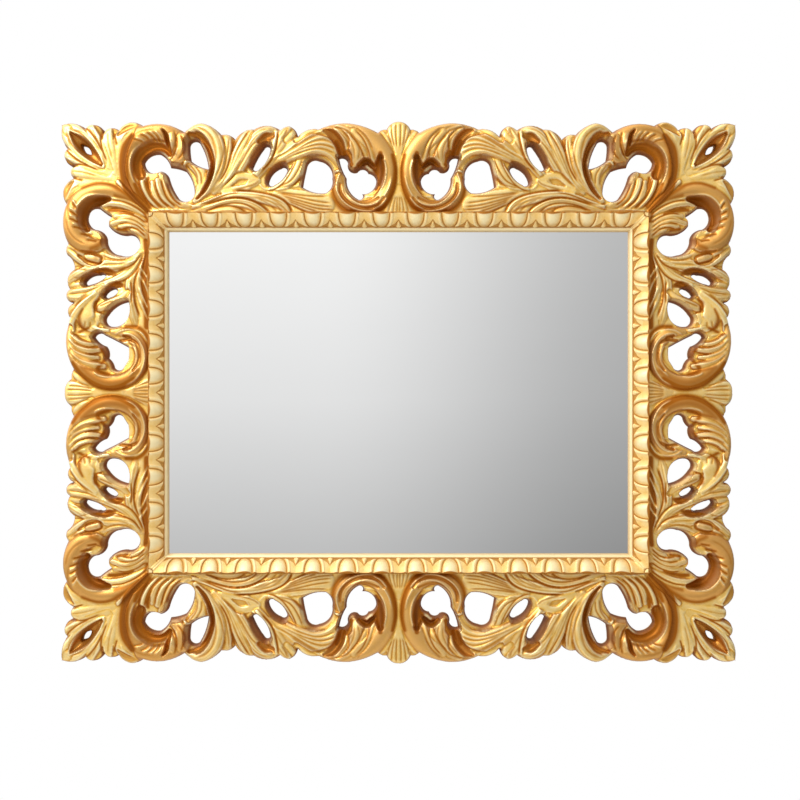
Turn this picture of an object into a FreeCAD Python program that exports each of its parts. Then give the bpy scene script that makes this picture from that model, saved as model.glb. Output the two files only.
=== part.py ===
"""A carved and gilded wall mirror: an openwork border of scrolls and acanthus leaves in four mitred
members, a mitred egg-and-dart moulding that holds the glass, a backing board behind turn buttons, and a
pair of ring hangers with two wall bumpers.

Millimetres. The origin lies on the wall, at the middle of the mirror. X runs along the wall to the right
of someone facing the mirror, Z is up, and the mirror faces -Y.

A rail or stile is made in a frame of its own: along is measured from the middle of that side, out from
the seam between moulding and border, and height forward from the frame's back.
"""

import FreeCAD
import Part
import math
import os

# Glass and its backing
GLASS_WIDTH = 700.0
GLASS_HEIGHT = 494.0
GLASS_THICK = 4.0
BOARD_THICK = 3.0
GLASS_COVER = 6.0  # edge of the glass that the moulding's lip hides
REBATE_PLAY = 1.0  # room round the glass and the board

# Egg-and-dart moulding
MOULDING_WIDTH = 26.0
MOULDING_HEIGHT = 40.0
FILLET_WIDTH = 5.0  # plain strip beside the glass
FILLET_HEIGHT = 17.0
OVOLO_FOOT = 19.0  # height where the swelling slope starts
OVOLO_SAG = 3.5  # how far the slope swells past a straight one
CREST_FLAT = 2.0
TONGUE_WIDTH = 12.0  # part of the moulding that sits on the border's flange
FLANGE_THICK = 12.0
EGG_HALF_WIDTH = 9.5
EGG_HALF_LENGTH = 11.5
EGG_SWELL = 2.6  # how far an egg stands out of the slope
EGG_RAISED = 1.5  # how far up the slope the eggs sit, from its middle
EGG_ROOT = 2.0  # how deep an egg is rooted in the slope
EGG_PITCH = 50.0  # about how far apart the eggs are; each side takes an even number of them
EGG_ENDS_RAIL = 14.8  # from the last egg's half pitch to the moulding's outer corner
EGG_ENDS_STILE = 18.5

# Carved border
BORDER_WIDTH = 133.0  # from the moulding to the corner tips
GROUND_THICK = 18.0  # wood left under the carving
CARVING_THICK = 40.0  # stock that the border is carved from
RIDGE_ROOT = 8.0  # how deep a ridge is rooted in the ground
ROLL_FLAT = 0.45  # share of a scroll's width that is rolled flat along its crest

# Joints between the members
SPLINE_LENGTH = 44.0
SPLINE_WIDTH = 24.0
SPLINE_THICK = 4.0
SPLINE_HEIGHT = 7.0  # from the frame's back
SPLINE_START = 18.0  # from the moulding's corner, along the mitre
SPLINE_PLAY = 0.1
V_NAIL_LEG = 5.0
V_NAIL_THICK = 0.8
V_NAIL_HEIGHT = 9.0

# Screws
SCREW_PLAY = 0.05
MOULDING_SCREW_RADIUS = 1.75
MOULDING_SCREW_LENGTH = 26.0
MOULDING_SCREW_HEAD = 3.5
MOULDING_SCREW_RAIL = 255.0  # places along a rail and a stile, from the middle
MOULDING_SCREW_STILE = 60.0
BUTTON_SCREW_RADIUS = 1.75
BUTTON_SCREW_GRIP = 9.0  # length in the wood
BUTTON_SCREW_HEAD = 3.4
BUTTON_SCREW_HEAD_THICK = 1.8
HANGER_SCREW_RADIUS = 1.75
HANGER_SCREW_GRIP = 14.0
HANGER_SCREW_HEAD = 3.4
HANGER_SCREW_HEAD_THICK = 1.6

# Turn buttons
BUTTON_HUB = 6.0
BUTTON_NOSE = 4.0
BUTTON_THICK = 1.5
BUTTON_OVERLAP = 8.0  # how far a nose reaches over the board
BUTTON_LIFT = 0.2  # running gap under the plate
BUTTON_RAIL = 170.0
BUTTON_STILE = 120.0

# Ring hangers and bumpers
STANDOFF = 8.0  # gap between the wall and the frame's back
STRAP_WIDTH = 14.0
STRAP_THICK = 1.5
STRAP_LENGTH = 34.0
STRAP_SCREW_FIRST = 11.0  # from the ring's axis
STRAP_SCREW_PITCH = 14.0
STRAP_OUT = 18.0  # middle of the strap, from the moulding
STRAP_ALONG = 172.0  # the ring's axis, up the stile
RING_WIRE = 1.9
RING_HALF_SPAN = 11.0
RING_SIDE = 4.0  # straight part of the ring's legs
RING_BEND = 3.0
RING_PLAY = 0.1
BUMPER_RADIUS = 9.0
BUMPER_FACE_RADIUS = 8.0
BUMPER_ALONG = 318.0
BUMPER_OUT = 72.0

# Lengths that the carving's pattern is drawn for; the pattern stretches with the members
PATTERN_RAIL = 370.0
PATTERN_STILE = 267.0
PATTERN_BORDER = 133.0

# Places that follow from the sizes above
HALF_WIDTH = GLASS_WIDTH / 2 - GLASS_COVER + MOULDING_WIDTH
HALF_HEIGHT = GLASS_HEIGHT / 2 - GLASS_COVER + MOULDING_WIDTH
SEAT_HEIGHT = BOARD_THICK + GLASS_THICK
REBATE_WIDTH = GLASS_COVER + REBATE_PLAY
SCREW_OUT = -TONGUE_WIDTH / 2
RING_AXIS_HEIGHT = -(RING_WIRE + RING_PLAY + STRAP_THICK)


def spot(along, height, out):
    return FreeCAD.Vector(along, -(STANDOFF + height), out)


FORWARD = FreeCAD.Vector(0, -1, 0)


def line(start, end):
    return Part.LineSegment(start, end).toShape()


def flat_face(corners):
    return Part.Face(Part.makePolygon(corners + corners[:1]))


def faceted(rows):
    """A solid in flat facets through rows of corners, each row a flat section of it."""
    facets = [flat_face(rows[0]), flat_face(rows[-1])]
    for row, following in zip(rows, rows[1:]):
        for corner in range(len(row)):
            facets.append(flat_face([row[corner - 1], row[corner], following[corner]]))
            facets.append(flat_face([row[corner - 1], following[corner], following[corner - 1]]))
    return Part.makeSolid(Part.makeShell(facets))


def prism(points, low, high):
    """A straight block on an outline of (along, out) points, between two heights."""
    return flat_face([spot(along, low, out) for along, out in points]).extrude(FORWARD * (high - low))


def post(along, out, low, high, radius):
    return Part.makeCylinder(radius, high - low, spot(along, low, out), FORWARD)


def to_right(shape):
    """Turns a piece made along a rail into the same piece along a stile."""
    return shape.mirror(FreeCAD.Vector(), FreeCAD.Vector(1, 0, -1))


def seat(shape, side):
    """Moves a piece from its own frame to one of the four sides."""
    if side in ("top", "bottom"):
        shape = shape.translated(FreeCAD.Vector(0, 0, HALF_HEIGHT))
    else:
        shape = to_right(shape).translated(FreeCAD.Vector(HALF_WIDTH, 0, 0))
    if side == "bottom":
        shape = shape.mirror(FreeCAD.Vector(), FreeCAD.Vector(0, 0, 1))
    if side == "left":
        shape = shape.mirror(FreeCAD.Vector(), FreeCAD.Vector(1, 0, 0))
    return shape


def both_ways(shape):
    return [shape, shape.mirror(FreeCAD.Vector(), FreeCAD.Vector(1, 0, 0))]


def save(shape, node):
    shape.exportStep(f"parts/{node}.step")


# Pattern of the border, drawn once for half a rail and half a stile. An outline is a row of lobes, each one
# or two arcs from one notch to the next, written as start, a point on the way and end. A piercing is a closed
# row of arcs. A ridge is a row of (along, out, half width, crest height), from its root to its tip.

RAIL_OUTLINE = [
    # palmette
    [(0, 137), (10, 134.5), (18, 125.5)],
    [(18, 125.5), (26, 124.5), (31, 120.5)],
    # back of the large scroll and tip of the arched leaf
    [(31, 120.5), (50, 129), (75, 134.5), (98, 133), (119, 126)],
    [(119, 126), (138, 124), (150.5, 114.5)],
    # main leaf
    [(150.5, 114.5), (155, 125.5), (163, 130.5), (170, 128.5), (176, 124.5)],
    [(176, 124.5), (197, 131.5), (216, 125.5)],
    [(216, 125.5), (232, 122), (243.5, 110.5)],
    [(243.5, 110.5), (252, 117), (264, 117.5)],
    [(264, 117.5), (277, 128.5), (293, 134.5), (307, 130.5), (319, 121.5)],
    # corner scroll and corner leaf
    [(319, 121.5), (350, 133), (380, 130)],
    [(380, 130), (400, 136), (417, 124.5)],
    [(417, 124.5), (429, 127.5), (439, 120)],
    [(439, 120), (457, 132.5), (466.5, 127)],
    [(466.5, 127), (486, 134.5), (502, 132)],
]
STILE_OUTLINE = [
    # palmette
    [(0, 127.5), (12, 125.5), (21, 118)],
    [(21, 118), (29, 117.5), (35, 114)],
    # back of the large scroll
    [(35, 114), (72, 125.3), (111, 119.5)],
    # main leaf
    [(111, 119.5), (121, 123.5), (134, 114.5)],
    [(134, 114.5), (142, 125.5), (154, 120.5)],
    [(154, 120.5), (167, 124), (184, 113.5)],
    [(184, 113.5), (195, 115.5), (205, 124), (213, 126), (221, 122.5)],
    # corner scroll and corner leaf
    [(221, 122.5), (250, 130), (280.5, 125)],
    [(280.5, 125), (302, 129.5), (319.5, 115)],
    [(319.5, 115), (328.5, 118.5), (337.5, 113.5)],
    [(337.5, 113.5), (354, 128), (363, 124)],
    [(363, 124), (382, 132), (399, 132)],
]

RAIL_PIERCINGS = [
    # inside the large scroll, with the notches of its claws
    [(33.5, 49.5), (36.5, 57.5), (45.5, 62), (52.5, 68), (61.5, 64), (69.5, 63.5), (76, 76.5), (82, 84.5),
     (89, 84), (86, 71.5), (78, 54.5), (74, 36), (60.5, 23), (54, 25), (54.5, 31), (42.5, 34)],
    # under the arched leaf
    [(99.5, 53.5), (105, 73), (119, 80.5), (131.5, 80), (137.5, 70.5), (141, 55.5), (143.5, 41),
     (126.5, 33.5), (109, 32.5), (101.5, 40)],
    # two eyelets of the main leaf
    [(167, 65.5), (170, 70.5), (176, 69.5), (188, 61.5), (194.5, 48.5), (192.5, 43.5), (186, 44.5),
     (174, 53.5)],
    [(192.5, 97), (195.5, 102), (200.5, 100.5), (211, 85), (218.5, 69.5), (215.5, 66), (210, 67.5),
     (199, 79.5)],
    # beside the curled lobe
    [(285, 68.5), (289, 87.5), (298, 107), (307, 109.5), (313, 101), (312.5, 90.5), (311, 80.5), (299, 72.5)],
    # inside the corner scroll, with the notches of its claws
    [(306, 33), (314.5, 20.5), (329.5, 24), (337.5, 37), (343.5, 52.5), (348.5, 61.5), (356.5, 65),
     (364, 62.5), (371, 62.5), (378, 68.5), (381, 77.5), (372, 87.5), (357.5, 90.5), (347.5, 82.5),
     (341.5, 70.5), (329.5, 68.5), (318.5, 64.5), (309, 48.5)],
]
STILE_PIERCINGS = [
    # inside the corner scroll, with the notches of its claws
    [(218.5, 18), (230.5, 21), (235.5, 37), (239.5, 53.5), (249.5, 64.5), (256.5, 64), (262.5, 60),
     (268, 68.5), (275, 77.5), (276, 86.5), (267, 95), (254.5, 95), (244.5, 84.5), (239.5, 72.5),
     (229.5, 67), (216, 63.5), (206, 46.5), (207, 28)],
    # two eyelets of the main leaf
    [(174, 68.5), (176.5, 71.5), (176, 77.5), (173, 91), (166, 98.5), (162.5, 98), (162, 93), (166.5, 79.5)],
    [(151, 51), (154.5, 53.5), (154.5, 58.5), (150.5, 65.5), (145, 69.5), (142.5, 67.5), (143, 63),
     (146.5, 55.5)],
    # under the arched leaf
    [(136, 35), (130.5, 50.5), (116, 65.5), (104, 67.5), (99, 59.5), (104, 42.5), (118, 34.5), (127.5, 33.5)],
    # inside the large scroll, with the notches of its claws
    [(67.5, 35), (77, 52.5), (86, 70.5), (88, 80.5), (83, 85.5), (75.5, 79.5), (69.5, 68.5), (61.5, 64.5),
     (51.5, 65), (45.5, 59.5), (37.5, 56.5), (33.5, 49.5), (36.5, 43), (42.5, 39.5), (48.5, 35.5),
     (57.5, 34.5)],
]
# Pointed eyelet on the mitre of each corner leaf
CORNER_EYELET_REACH = 135.5  # its middle, from the moulding's corner
CORNER_EYELET_HALF_LENGTH = 10.5
CORNER_EYELET_HALF_WIDTH = 4.0

RAIL_ROLLS = [
    # large scroll, from the arched leaf round to its inner end
    [(118, 114, 6, 26), (88, 121, 8, 32), (54, 112, 11, 36), (27, 86, 11, 37), (17, 50, 10, 35),
     (25, 23, 10, 32), (50, 10.5, 8, 30), (75, 17, 8, 29), (88, 36, 6, 27), (91, 56, 3, 24)],
    # corner scroll, from the moulding's corner round to its curled end
    [(380, 14, 7, 26), (395, 35, 10, 31), (402, 66, 10, 35), (394, 96, 11, 37), (370, 112, 11, 37),
     (344, 112, 10, 36), (328, 98, 9, 35), (324, 82, 8, 33), (330, 73, 5, 28)],
]
RAIL_RIDGES = [
    # palmette
    [(0, 52, 3, 25), (0, 90, 6, 32), (0, 126, 9, 28)],
    [(0, 50, 3, 25), (0, 26, 7, 29), (0, 4, 11, 25)],
    # finger of the large scroll
    [(72, 106, 5, 27), (60, 92, 6, 32), (60, 76, 4, 25)],
    # arched leaf
    [(192, 66, 4, 22), (165, 86, 8, 29), (138, 103, 9, 32), (108, 106, 6, 26)],
    [(160, 80, 5, 24), (134, 88, 6, 28), (112, 88, 6, 27), (95, 77, 3, 23)],
    # lobes of the main leaf
    [(196, 30, 5, 23), (160, 42, 6, 27), (148, 62, 6, 28), (141, 80, 4, 24)],
    [(188, 24, 5, 23), (148, 16, 9, 27), (102, 12, 8, 24)],
    [(202, 48, 5, 24), (190, 74, 5, 29), (177, 98, 8, 31), (164, 119, 6, 25)],
    [(238, 44, 6, 26), (228, 74, 7, 32), (215, 102, 8, 32), (199, 124, 6, 25)],
    [(250, 44, 6, 26), (243, 74, 7, 32), (235, 98, 7, 30), (227, 115, 5, 25)],
    [(264, 44, 6, 26), (258, 70, 6, 32), (254, 92, 6, 30), (254, 109, 4, 25)],
    [(284, 40, 6, 25), (273, 60, 7, 31), (272, 84, 8, 35), (283, 112, 9, 36), (304, 120, 7, 28)],
    # small leaf between the curled lobe and the corner scroll
    [(296, 34, 4, 23), (296, 50, 6, 28), (308, 66, 4, 26)],
    # long stem along the moulding
    [(164, 5, 3, 22), (190, 18, 6, 26), (226, 25, 7, 28), (262, 22, 7, 28), (296, 9, 6, 25)],
    # claws inside the corner scroll
    [(324, 7, 6, 23), (341, 24, 7, 28), (349, 42, 6, 28), (354, 56, 3, 24)],
    [(354, 7, 5, 23), (366, 26, 7, 28), (374, 44, 5, 28), (378, 60, 3, 24)],
    # corner leaf
    [(417, 62, 4, 25), (415, 92, 8, 32), (402, 126, 7, 26)],
    [(424, 72, 4, 25), (439, 98, 8, 32), (457, 124, 6, 25)],
    [(436, 86, 3, 25), (459, 110, 6, 31), (486, 127, 5, 25)],
]
STILE_ROLLS = [
    [(106, 114, 6, 26), (86, 117, 8, 32), (58, 110, 11, 36), (32, 92, 10, 37), (17, 66, 9, 35),
     (16, 38, 10, 32), (33, 15, 9, 30), (60, 12, 9, 29), (82, 24, 7, 27), (91, 46, 4, 24)],
    [(280, 16, 7, 26), (294, 36, 9, 31), (299, 66, 9, 35), (288, 98, 10, 37), (262, 112, 10, 37),
     (238, 108, 9, 36), (226, 94, 8, 34), (225, 79, 6, 31), (231, 73, 3, 26)],
]
STILE_RIDGES = [
    # palmette
    [(0, 52, 3, 25), (0, 88, 6, 32), (0, 120, 9, 28)],
    [(0, 50, 3, 25), (0, 26, 7, 29), (0, 4, 11, 25)],
    # finger of the large scroll
    [(78, 100, 5, 27), (64, 90, 6, 32), (58, 74, 4, 25)],
    # arched leaf
    [(147, 75, 4, 24), (134, 87, 7, 29), (118, 100, 7, 31), (100, 100, 5, 26)],
    [(136, 60, 4, 23), (120, 72, 5, 27), (106, 76, 5, 27), (94, 70, 3, 23)],
    # lobes of the main leaf
    [(196, 14, 6, 24), (160, 14, 8, 28), (112, 14, 7, 24)],
    [(190, 32, 5, 24), (164, 36, 7, 27), (142, 38, 4, 24)],
    [(182, 52, 5, 24), (162, 64, 5, 28), (150, 88, 7, 31), (144, 116, 6, 25)],
    [(195, 60, 5, 25), (186, 84, 7, 32), (177, 102, 7, 31), (169, 117, 5, 25)],
    [(204, 72, 4, 25), (200, 90, 6, 31), (201, 106, 6, 29), (211, 120, 4, 25)],
    # claws inside the corner scroll
    [(240, 6, 5, 23), (247, 24, 6, 28), (250, 42, 5, 28), (251, 55, 3, 24)],
    [(259, 6, 5, 23), (270, 28, 7, 28), (276, 50, 6, 28), (280, 70, 3, 24)],
    # corner leaf
    [(314, 62, 4, 25), (312, 92, 8, 32), (299, 122, 7, 26)],
    [(321, 72, 4, 25), (336, 94, 7, 32), (354, 121, 6, 25)],
    [(333, 86, 3, 25), (356, 110, 6, 31), (383, 127, 5, 25)],
]


class Pattern:
    """Stretches the drawn pattern over half a member of a given inner length."""

    def __init__(self, drawn_half_length, half_length):
        self.drawn = drawn_half_length
        self.half_length = half_length
        self.growth = BORDER_WIDTH / PATTERN_BORDER

    def lay(self, along, out):
        past_corner = max(0.0, along - self.drawn) * self.growth
        return min(along, self.drawn) * self.half_length / self.drawn + past_corner, out * self.growth

    def arcs(self, points):
        """Arcs through a row of points: start, a point on the way, end, a point on the way, end."""
        places = [self.lay(*point) for point in points]
        spots = [spot(along, 0, out) for along, out in places]
        return [Part.Arc(*spots[first : first + 3]).toShape() for first in range(0, len(spots) - 2, 2)]

    def plate(self, lobes, height):
        """The border's blank, between its outer outline, the mitre, the moulding and the middle."""
        edges = [edge for lobe in lobes for edge in self.arcs(lobe)]
        middle, corner = spot(0, 0, 0), spot(self.half_length, 0, 0)
        edges.append(line(edges[-1].Vertexes[-1].Point, corner))
        edges.append(line(corner, middle))
        edges.append(line(middle, edges[0].Vertexes[0].Point))
        return Part.Face(Part.Wire(edges)).extrude(FORWARD * height)

    def piercing(self, points, height):
        rim = Part.Wire(self.arcs(points + points[:1]))
        return Part.Face(rim).extrude(FORWARD * height)

    def corner_eyelet(self, height):
        slant = FreeCAD.Vector(self.growth, 0, self.growth) / math.sqrt(2)
        side = FreeCAD.Vector(-self.growth, 0, self.growth) / math.sqrt(2)
        centre = spot(self.half_length, 0, 0) + slant * CORNER_EYELET_REACH
        ends = [centre + slant * CORNER_EYELET_HALF_LENGTH * way for way in (1, -1)]
        sides = [centre + side * CORNER_EYELET_HALF_WIDTH * way for way in (1, -1)]
        arcs = [Part.Arc(ends[0], sides[0], ends[1]), Part.Arc(ends[1], sides[1], ends[0])]
        rim = Part.Wire([arc.toShape() for arc in arcs])
        return Part.Face(rim).extrude(FORWARD * height)

    def ridge(self, stations, rolled):
        """A ridge cut in flat facets and rooted in the ground: a scroll has a flat along its crest, a leaf
        a sharp edge."""
        places = [self.lay(station[0], station[1]) for station in stations]
        rows = []
        for index, (along, out) in enumerate(places):
            before = places[max(index - 1, 0)]
            after = places[min(index + 1, len(places) - 1)]
            run = math.hypot(after[0] - before[0], after[1] - before[1])
            half_width, crest_height = stations[index][2] * self.growth, stations[index][3]
            side = FreeCAD.Vector(-(after[1] - before[1]), 0, after[0] - before[0]) * (half_width / run)
            feet = [spot(along, GROUND_THICK - RIDGE_ROOT, out) + side * way for way in (1, -1)]
            edges = [spot(along, GROUND_THICK, out) + side * way for way in (1, -1)]
            crest = spot(along, crest_height, out)
            tops = [crest + side * (ROLL_FLAT * way) for way in (1, -1)] if rolled else [crest]
            rows.append([feet[0], edges[0], *tops, edges[1], feet[1]])
        return faceted(rows)


def half_border(pattern, outline, piercings, rolls, ridges):
    """Half a carved member, from the middle of its side to the mitre, with its flange."""
    length = pattern.half_length
    plate = pattern.plate(outline, GROUND_THICK)
    cutters = [pattern.piercing(points, CARVING_THICK) for points in piercings]
    plate = plate.cut(cutters + [pattern.corner_eyelet(CARVING_THICK)])
    carving = [pattern.ridge(stations, True) for stations in rolls]
    carving += [pattern.ridge(stations, False) for stations in ridges]
    flange = prism(
        [(0, -TONGUE_WIDTH), (length - TONGUE_WIDTH, -TONGUE_WIDTH), (length, 0), (0, 0)], 0, FLANGE_THICK
    )
    reach = 2 * BORDER_WIDTH
    mitred = prism(
        [(-reach, -TONGUE_WIDTH), (length - TONGUE_WIDTH, -TONGUE_WIDTH), (length + reach, reach),
         (-reach, reach)],
        0,
        CARVING_THICK,
    )
    return plate.multiFuse([flange, *carving]).common(mitred)


def whole_member(half, length):
    """Both halves of a carved member, slotted for the splines at its two mitres."""
    member = half.fuse(both_ways(half)[1]).removeSplitter()
    return member.cut(both_ways(spline_bar(length, SPLINE_PLAY)))


def spline_bar(length, play):
    """A loose tongue that lies across the mitre, half in a rail and half in a stile."""
    corner = spot(length, SPLINE_HEIGHT - play, 0)
    slant = FreeCAD.Vector(1, 0, 1) / math.sqrt(2)
    across = FreeCAD.Vector(-1, 0, 1) / math.sqrt(2) * (SPLINE_WIDTH / 2 + play)
    near = corner + slant * (SPLINE_START - play)
    far = corner + slant * (SPLINE_START + SPLINE_LENGTH + play)
    base = flat_face([near - across, far - across, far + across, near + across])
    return base.extrude(FORWARD * (SPLINE_THICK + 2 * play))


# Moulding round the glass

FOOT_OUT = (REBATE_WIDTH - TONGUE_WIDTH - MOULDING_WIDTH) / 2  # middle of the moulding's foot
SLOPE_START = (FILLET_WIDTH - MOULDING_WIDTH, OVOLO_FOOT)
SLOPE_END = (-CREST_FLAT, MOULDING_HEIGHT)
SLOPE_RUN = math.dist(SLOPE_START, SLOPE_END)
SLOPE_OUT = (SLOPE_END[0] - SLOPE_START[0]) / SLOPE_RUN
SLOPE_RISE = (SLOPE_END[1] - SLOPE_START[1]) / SLOPE_RUN
SLOPE_RADIUS = (SLOPE_RUN**2 / 4 + OVOLO_SAG**2) / (2 * OVOLO_SAG)
SLOPE_FLATS = (-0.2, 0.2)  # where the slope's three flats meet, as shares of its run from its middle


def slope_sag(up):
    return OVOLO_SAG - up**2 / (2 * SLOPE_RADIUS)


def off_slope(up, sag):
    """A point beside the slope: up is measured from its middle towards the crest, sag square to it."""
    out = (SLOPE_START[0] + SLOPE_END[0]) / 2 + up * SLOPE_OUT - sag * SLOPE_RISE
    height = (SLOPE_START[1] + SLOPE_END[1]) / 2 + up * SLOPE_RISE + sag * SLOPE_OUT
    return out, height


def moulding_bar(length):
    """The plain moulding: sight wall, fillet, swelling slope, crest, tongue, foot and rebate."""
    sight, foot = -MOULDING_WIDTH, -TONGUE_WIDTH
    profile = [
        SLOPE_END,
        (0, MOULDING_HEIGHT),
        (0, FLANGE_THICK),
        (foot, FLANGE_THICK),
        (foot, 0),
        (sight + REBATE_WIDTH, 0),
        (sight + REBATE_WIDTH, SEAT_HEIGHT),
        (sight, SEAT_HEIGHT),
        (sight, FILLET_HEIGHT),
        (sight + FILLET_WIDTH, FILLET_HEIGHT),
        SLOPE_START,
    ]
    profile += [off_slope(SLOPE_RUN * share, slope_sag(SLOPE_RUN * share)) for share in SLOPE_FLATS]
    section = flat_face([spot(-length, height, out) for out, height in profile])
    return section.extrude(FreeCAD.Vector(2 * length, 0, 0))


# Stations of an egg from its tip by the glass to its cut end at the crest, as shares of its half length,
# half width and swell
EGG_STATIONS = [(-1.0, 0.45, 0.2), (-0.6, 0.9, 0.85), (0.2, 1.0, 1.0), (1.0, 0.8, 0.6)]
EGG_SHOULDER = 0.55  # share of an egg's half width where its rounding starts


def egg(along):
    rows = []
    for up, width, swell in EGG_STATIONS:
        half = EGG_HALF_WIDTH * width
        place = EGG_RAISED + EGG_HALF_LENGTH * up
        section = [
            (-half, -EGG_ROOT),
            (-half, 0),
            (-half * EGG_SHOULDER, EGG_SWELL * swell),
            (half * EGG_SHOULDER, EGG_SWELL * swell),
            (half, 0),
            (half, -EGG_ROOT),
        ]
        row = []
        for across, rise in section:
            out, height = off_slope(place, slope_sag(place) + rise)
            row.append(spot(along + across, height, out))
        rows.append(row)
    return faceted(rows)


def v_nail(length):
    """A bent steel wedge across the moulding's mitre, one leg in each piece."""
    along, half = length + FOOT_OUT, V_NAIL_THICK / 2
    legs = [
        (along - V_NAIL_LEG, FOOT_OUT - half),
        (along - half, FOOT_OUT - half),
        (along - half, FOOT_OUT - V_NAIL_LEG),
        (along + half, FOOT_OUT - V_NAIL_LEG),
        (along + half, FOOT_OUT + half),
        (along - V_NAIL_LEG, FOOT_OUT + half),
    ]
    return prism(legs, 0, V_NAIL_HEIGHT)


def moulding_screw(along, play):
    """A countersunk screw from the back, through the border's flange and up into the moulding."""
    cone_length = MOULDING_SCREW_HEAD - MOULDING_SCREW_RADIUS
    head = Part.makeCone(
        MOULDING_SCREW_HEAD + play,
        MOULDING_SCREW_RADIUS + play,
        cone_length,
        spot(along, 0, SCREW_OUT),
        FORWARD,
    )
    return head.fuse(
        post(along, SCREW_OUT, cone_length, MOULDING_SCREW_LENGTH + play, MOULDING_SCREW_RADIUS + play)
    )


def moulding(length, egg_ends, screw_along):
    eggs = 2 * round((length - egg_ends) / EGG_PITCH)
    pitch = 2 * (length - egg_ends) / eggs
    places = [(number + 0.5 - eggs / 2) * pitch for number in range(eggs)]
    width = MOULDING_WIDTH
    mitred = prism([(-length, 0), (length, 0), (length - width, -width), (width - length, -width)], 0,
                   MOULDING_HEIGHT)
    bar = moulding_bar(length).multiFuse([egg(place) for place in places]).common(mitred)
    return bar.cut(both_ways(v_nail(length)) + both_ways(moulding_screw(screw_along, SCREW_PLAY)))


# Glass, board and what holds them

def pane(low, high):
    half_width, half_height = GLASS_WIDTH / 2, GLASS_HEIGHT / 2
    corners = [(-1, -1), (1, -1), (1, 1), (-1, 1)]
    return prism([(half_width * x, half_height * z) for x, z in corners], low, high)


def turn_button(along):
    """A flat plate with a round hub and a tapering nose that reaches over the board."""
    reach = MOULDING_WIDTH - GLASS_COVER + SCREW_OUT + BUTTON_OVERLAP - BUTTON_NOSE
    taper = math.asin((BUTTON_HUB - BUTTON_NOSE) / reach)
    low = -(BUTTON_LIFT + BUTTON_THICK)

    def at(side, radius, middle):
        return spot(
            along + side * radius * math.cos(taper), low, SCREW_OUT - middle - radius * math.sin(taper)
        )

    hub = [at(-1, BUTTON_HUB, 0), spot(along, low, SCREW_OUT + BUTTON_HUB), at(1, BUTTON_HUB, 0)]
    nose = [
        at(1, BUTTON_NOSE, reach),
        spot(along, low, SCREW_OUT - reach - BUTTON_NOSE),
        at(-1, BUTTON_NOSE, reach),
    ]
    edges = [
        Part.Arc(*hub).toShape(),
        line(hub[2], nose[0]),
        Part.Arc(*nose).toShape(),
        line(nose[2], hub[0]),
    ]
    plate = Part.Face(Part.Wire(edges)).extrude(FORWARD * BUTTON_THICK)
    return plate.cut(post(along, SCREW_OUT, low, 0, BUTTON_SCREW_RADIUS + SCREW_PLAY))


def button_screw(along):
    under_head = -(2 * BUTTON_LIFT + BUTTON_THICK)
    head = post(along, SCREW_OUT, under_head - BUTTON_SCREW_HEAD_THICK, under_head, BUTTON_SCREW_HEAD)
    return head.fuse(post(along, SCREW_OUT, under_head, BUTTON_SCREW_GRIP, BUTTON_SCREW_RADIUS))


def button_pilot(along):
    return post(along, SCREW_OUT, 0, BUTTON_SCREW_GRIP, BUTTON_SCREW_RADIUS + SCREW_PLAY)


# Hangers and bumpers, in the frame of a stile

STILE = Pattern(PATTERN_STILE, HALF_HEIGHT)
RAIL = Pattern(PATTERN_RAIL, HALF_WIDTH)
HANGER_ALONG, HANGER_OUT = STILE.lay(STRAP_ALONG, STRAP_OUT)
BUMPER_AT = STILE.lay(BUMPER_ALONG, BUMPER_OUT)
HANGER_SCREWS = [HANGER_ALONG - STRAP_SCREW_FIRST - STRAP_SCREW_PITCH * number for number in (0, 1)]


def hanger_strap():
    """A strap with a rounded end, curled round the straight side of its ring."""
    half, end = STRAP_WIDTH / 2, HANGER_ALONG - STRAP_LENGTH + STRAP_WIDTH / 2
    strip = prism(
        [(end, HANGER_OUT - half), (HANGER_ALONG, HANGER_OUT - half), (HANGER_ALONG, HANGER_OUT + half),
         (end, HANGER_OUT + half)],
        -STRAP_THICK,
        0,
    )
    rounded_end = post(end, HANGER_OUT, -STRAP_THICK, 0, half)
    start = spot(HANGER_ALONG, RING_AXIS_HEIGHT, HANGER_OUT - half)
    sideways = FreeCAD.Vector(0, 0, 1)
    bore = RING_WIRE + RING_PLAY
    curl = Part.makeCylinder(bore + STRAP_THICK, STRAP_WIDTH, start, sideways)
    strap = strip.multiFuse([rounded_end, curl])
    holes = [post(place, HANGER_OUT, -STRAP_THICK, 0, HANGER_SCREW_RADIUS + SCREW_PLAY)
             for place in HANGER_SCREWS]
    return strap.cut([Part.makeCylinder(bore, STRAP_WIDTH, start, sideways), *holes]).removeSplitter()


def hanger_ring():
    """A D-shaped wire ring that stands up from the strap: straight bar, two legs and a half round."""
    def at(rise, side):
        return spot(HANGER_ALONG + rise, RING_AXIS_HEIGHT, HANGER_OUT + side)

    span, bend = RING_HALF_SPAN, RING_BEND
    bend_mid = bend * (1 - math.sqrt(0.5))
    shoulder = bend + RING_SIDE
    path = [
        line(at(0, bend - span), at(0, span - bend)),
        Part.Arc(at(0, span - bend), at(bend_mid, span - bend_mid), at(bend, span)).toShape(),
        line(at(bend, span), at(shoulder, span)),
        Part.Arc(at(shoulder, span), at(shoulder + span, 0), at(shoulder, -span)).toShape(),
        line(at(shoulder, -span), at(bend, -span)),
        Part.Arc(at(bend, -span), at(bend_mid, bend_mid - span), at(0, bend - span)).toShape(),
    ]
    wire_end = Part.Circle(at(0, bend - span), FreeCAD.Vector(0, 0, 1), RING_WIRE).toShape()
    return Part.Wire(path).makePipeShell([Part.Wire(wire_end)], True, False)


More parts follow.
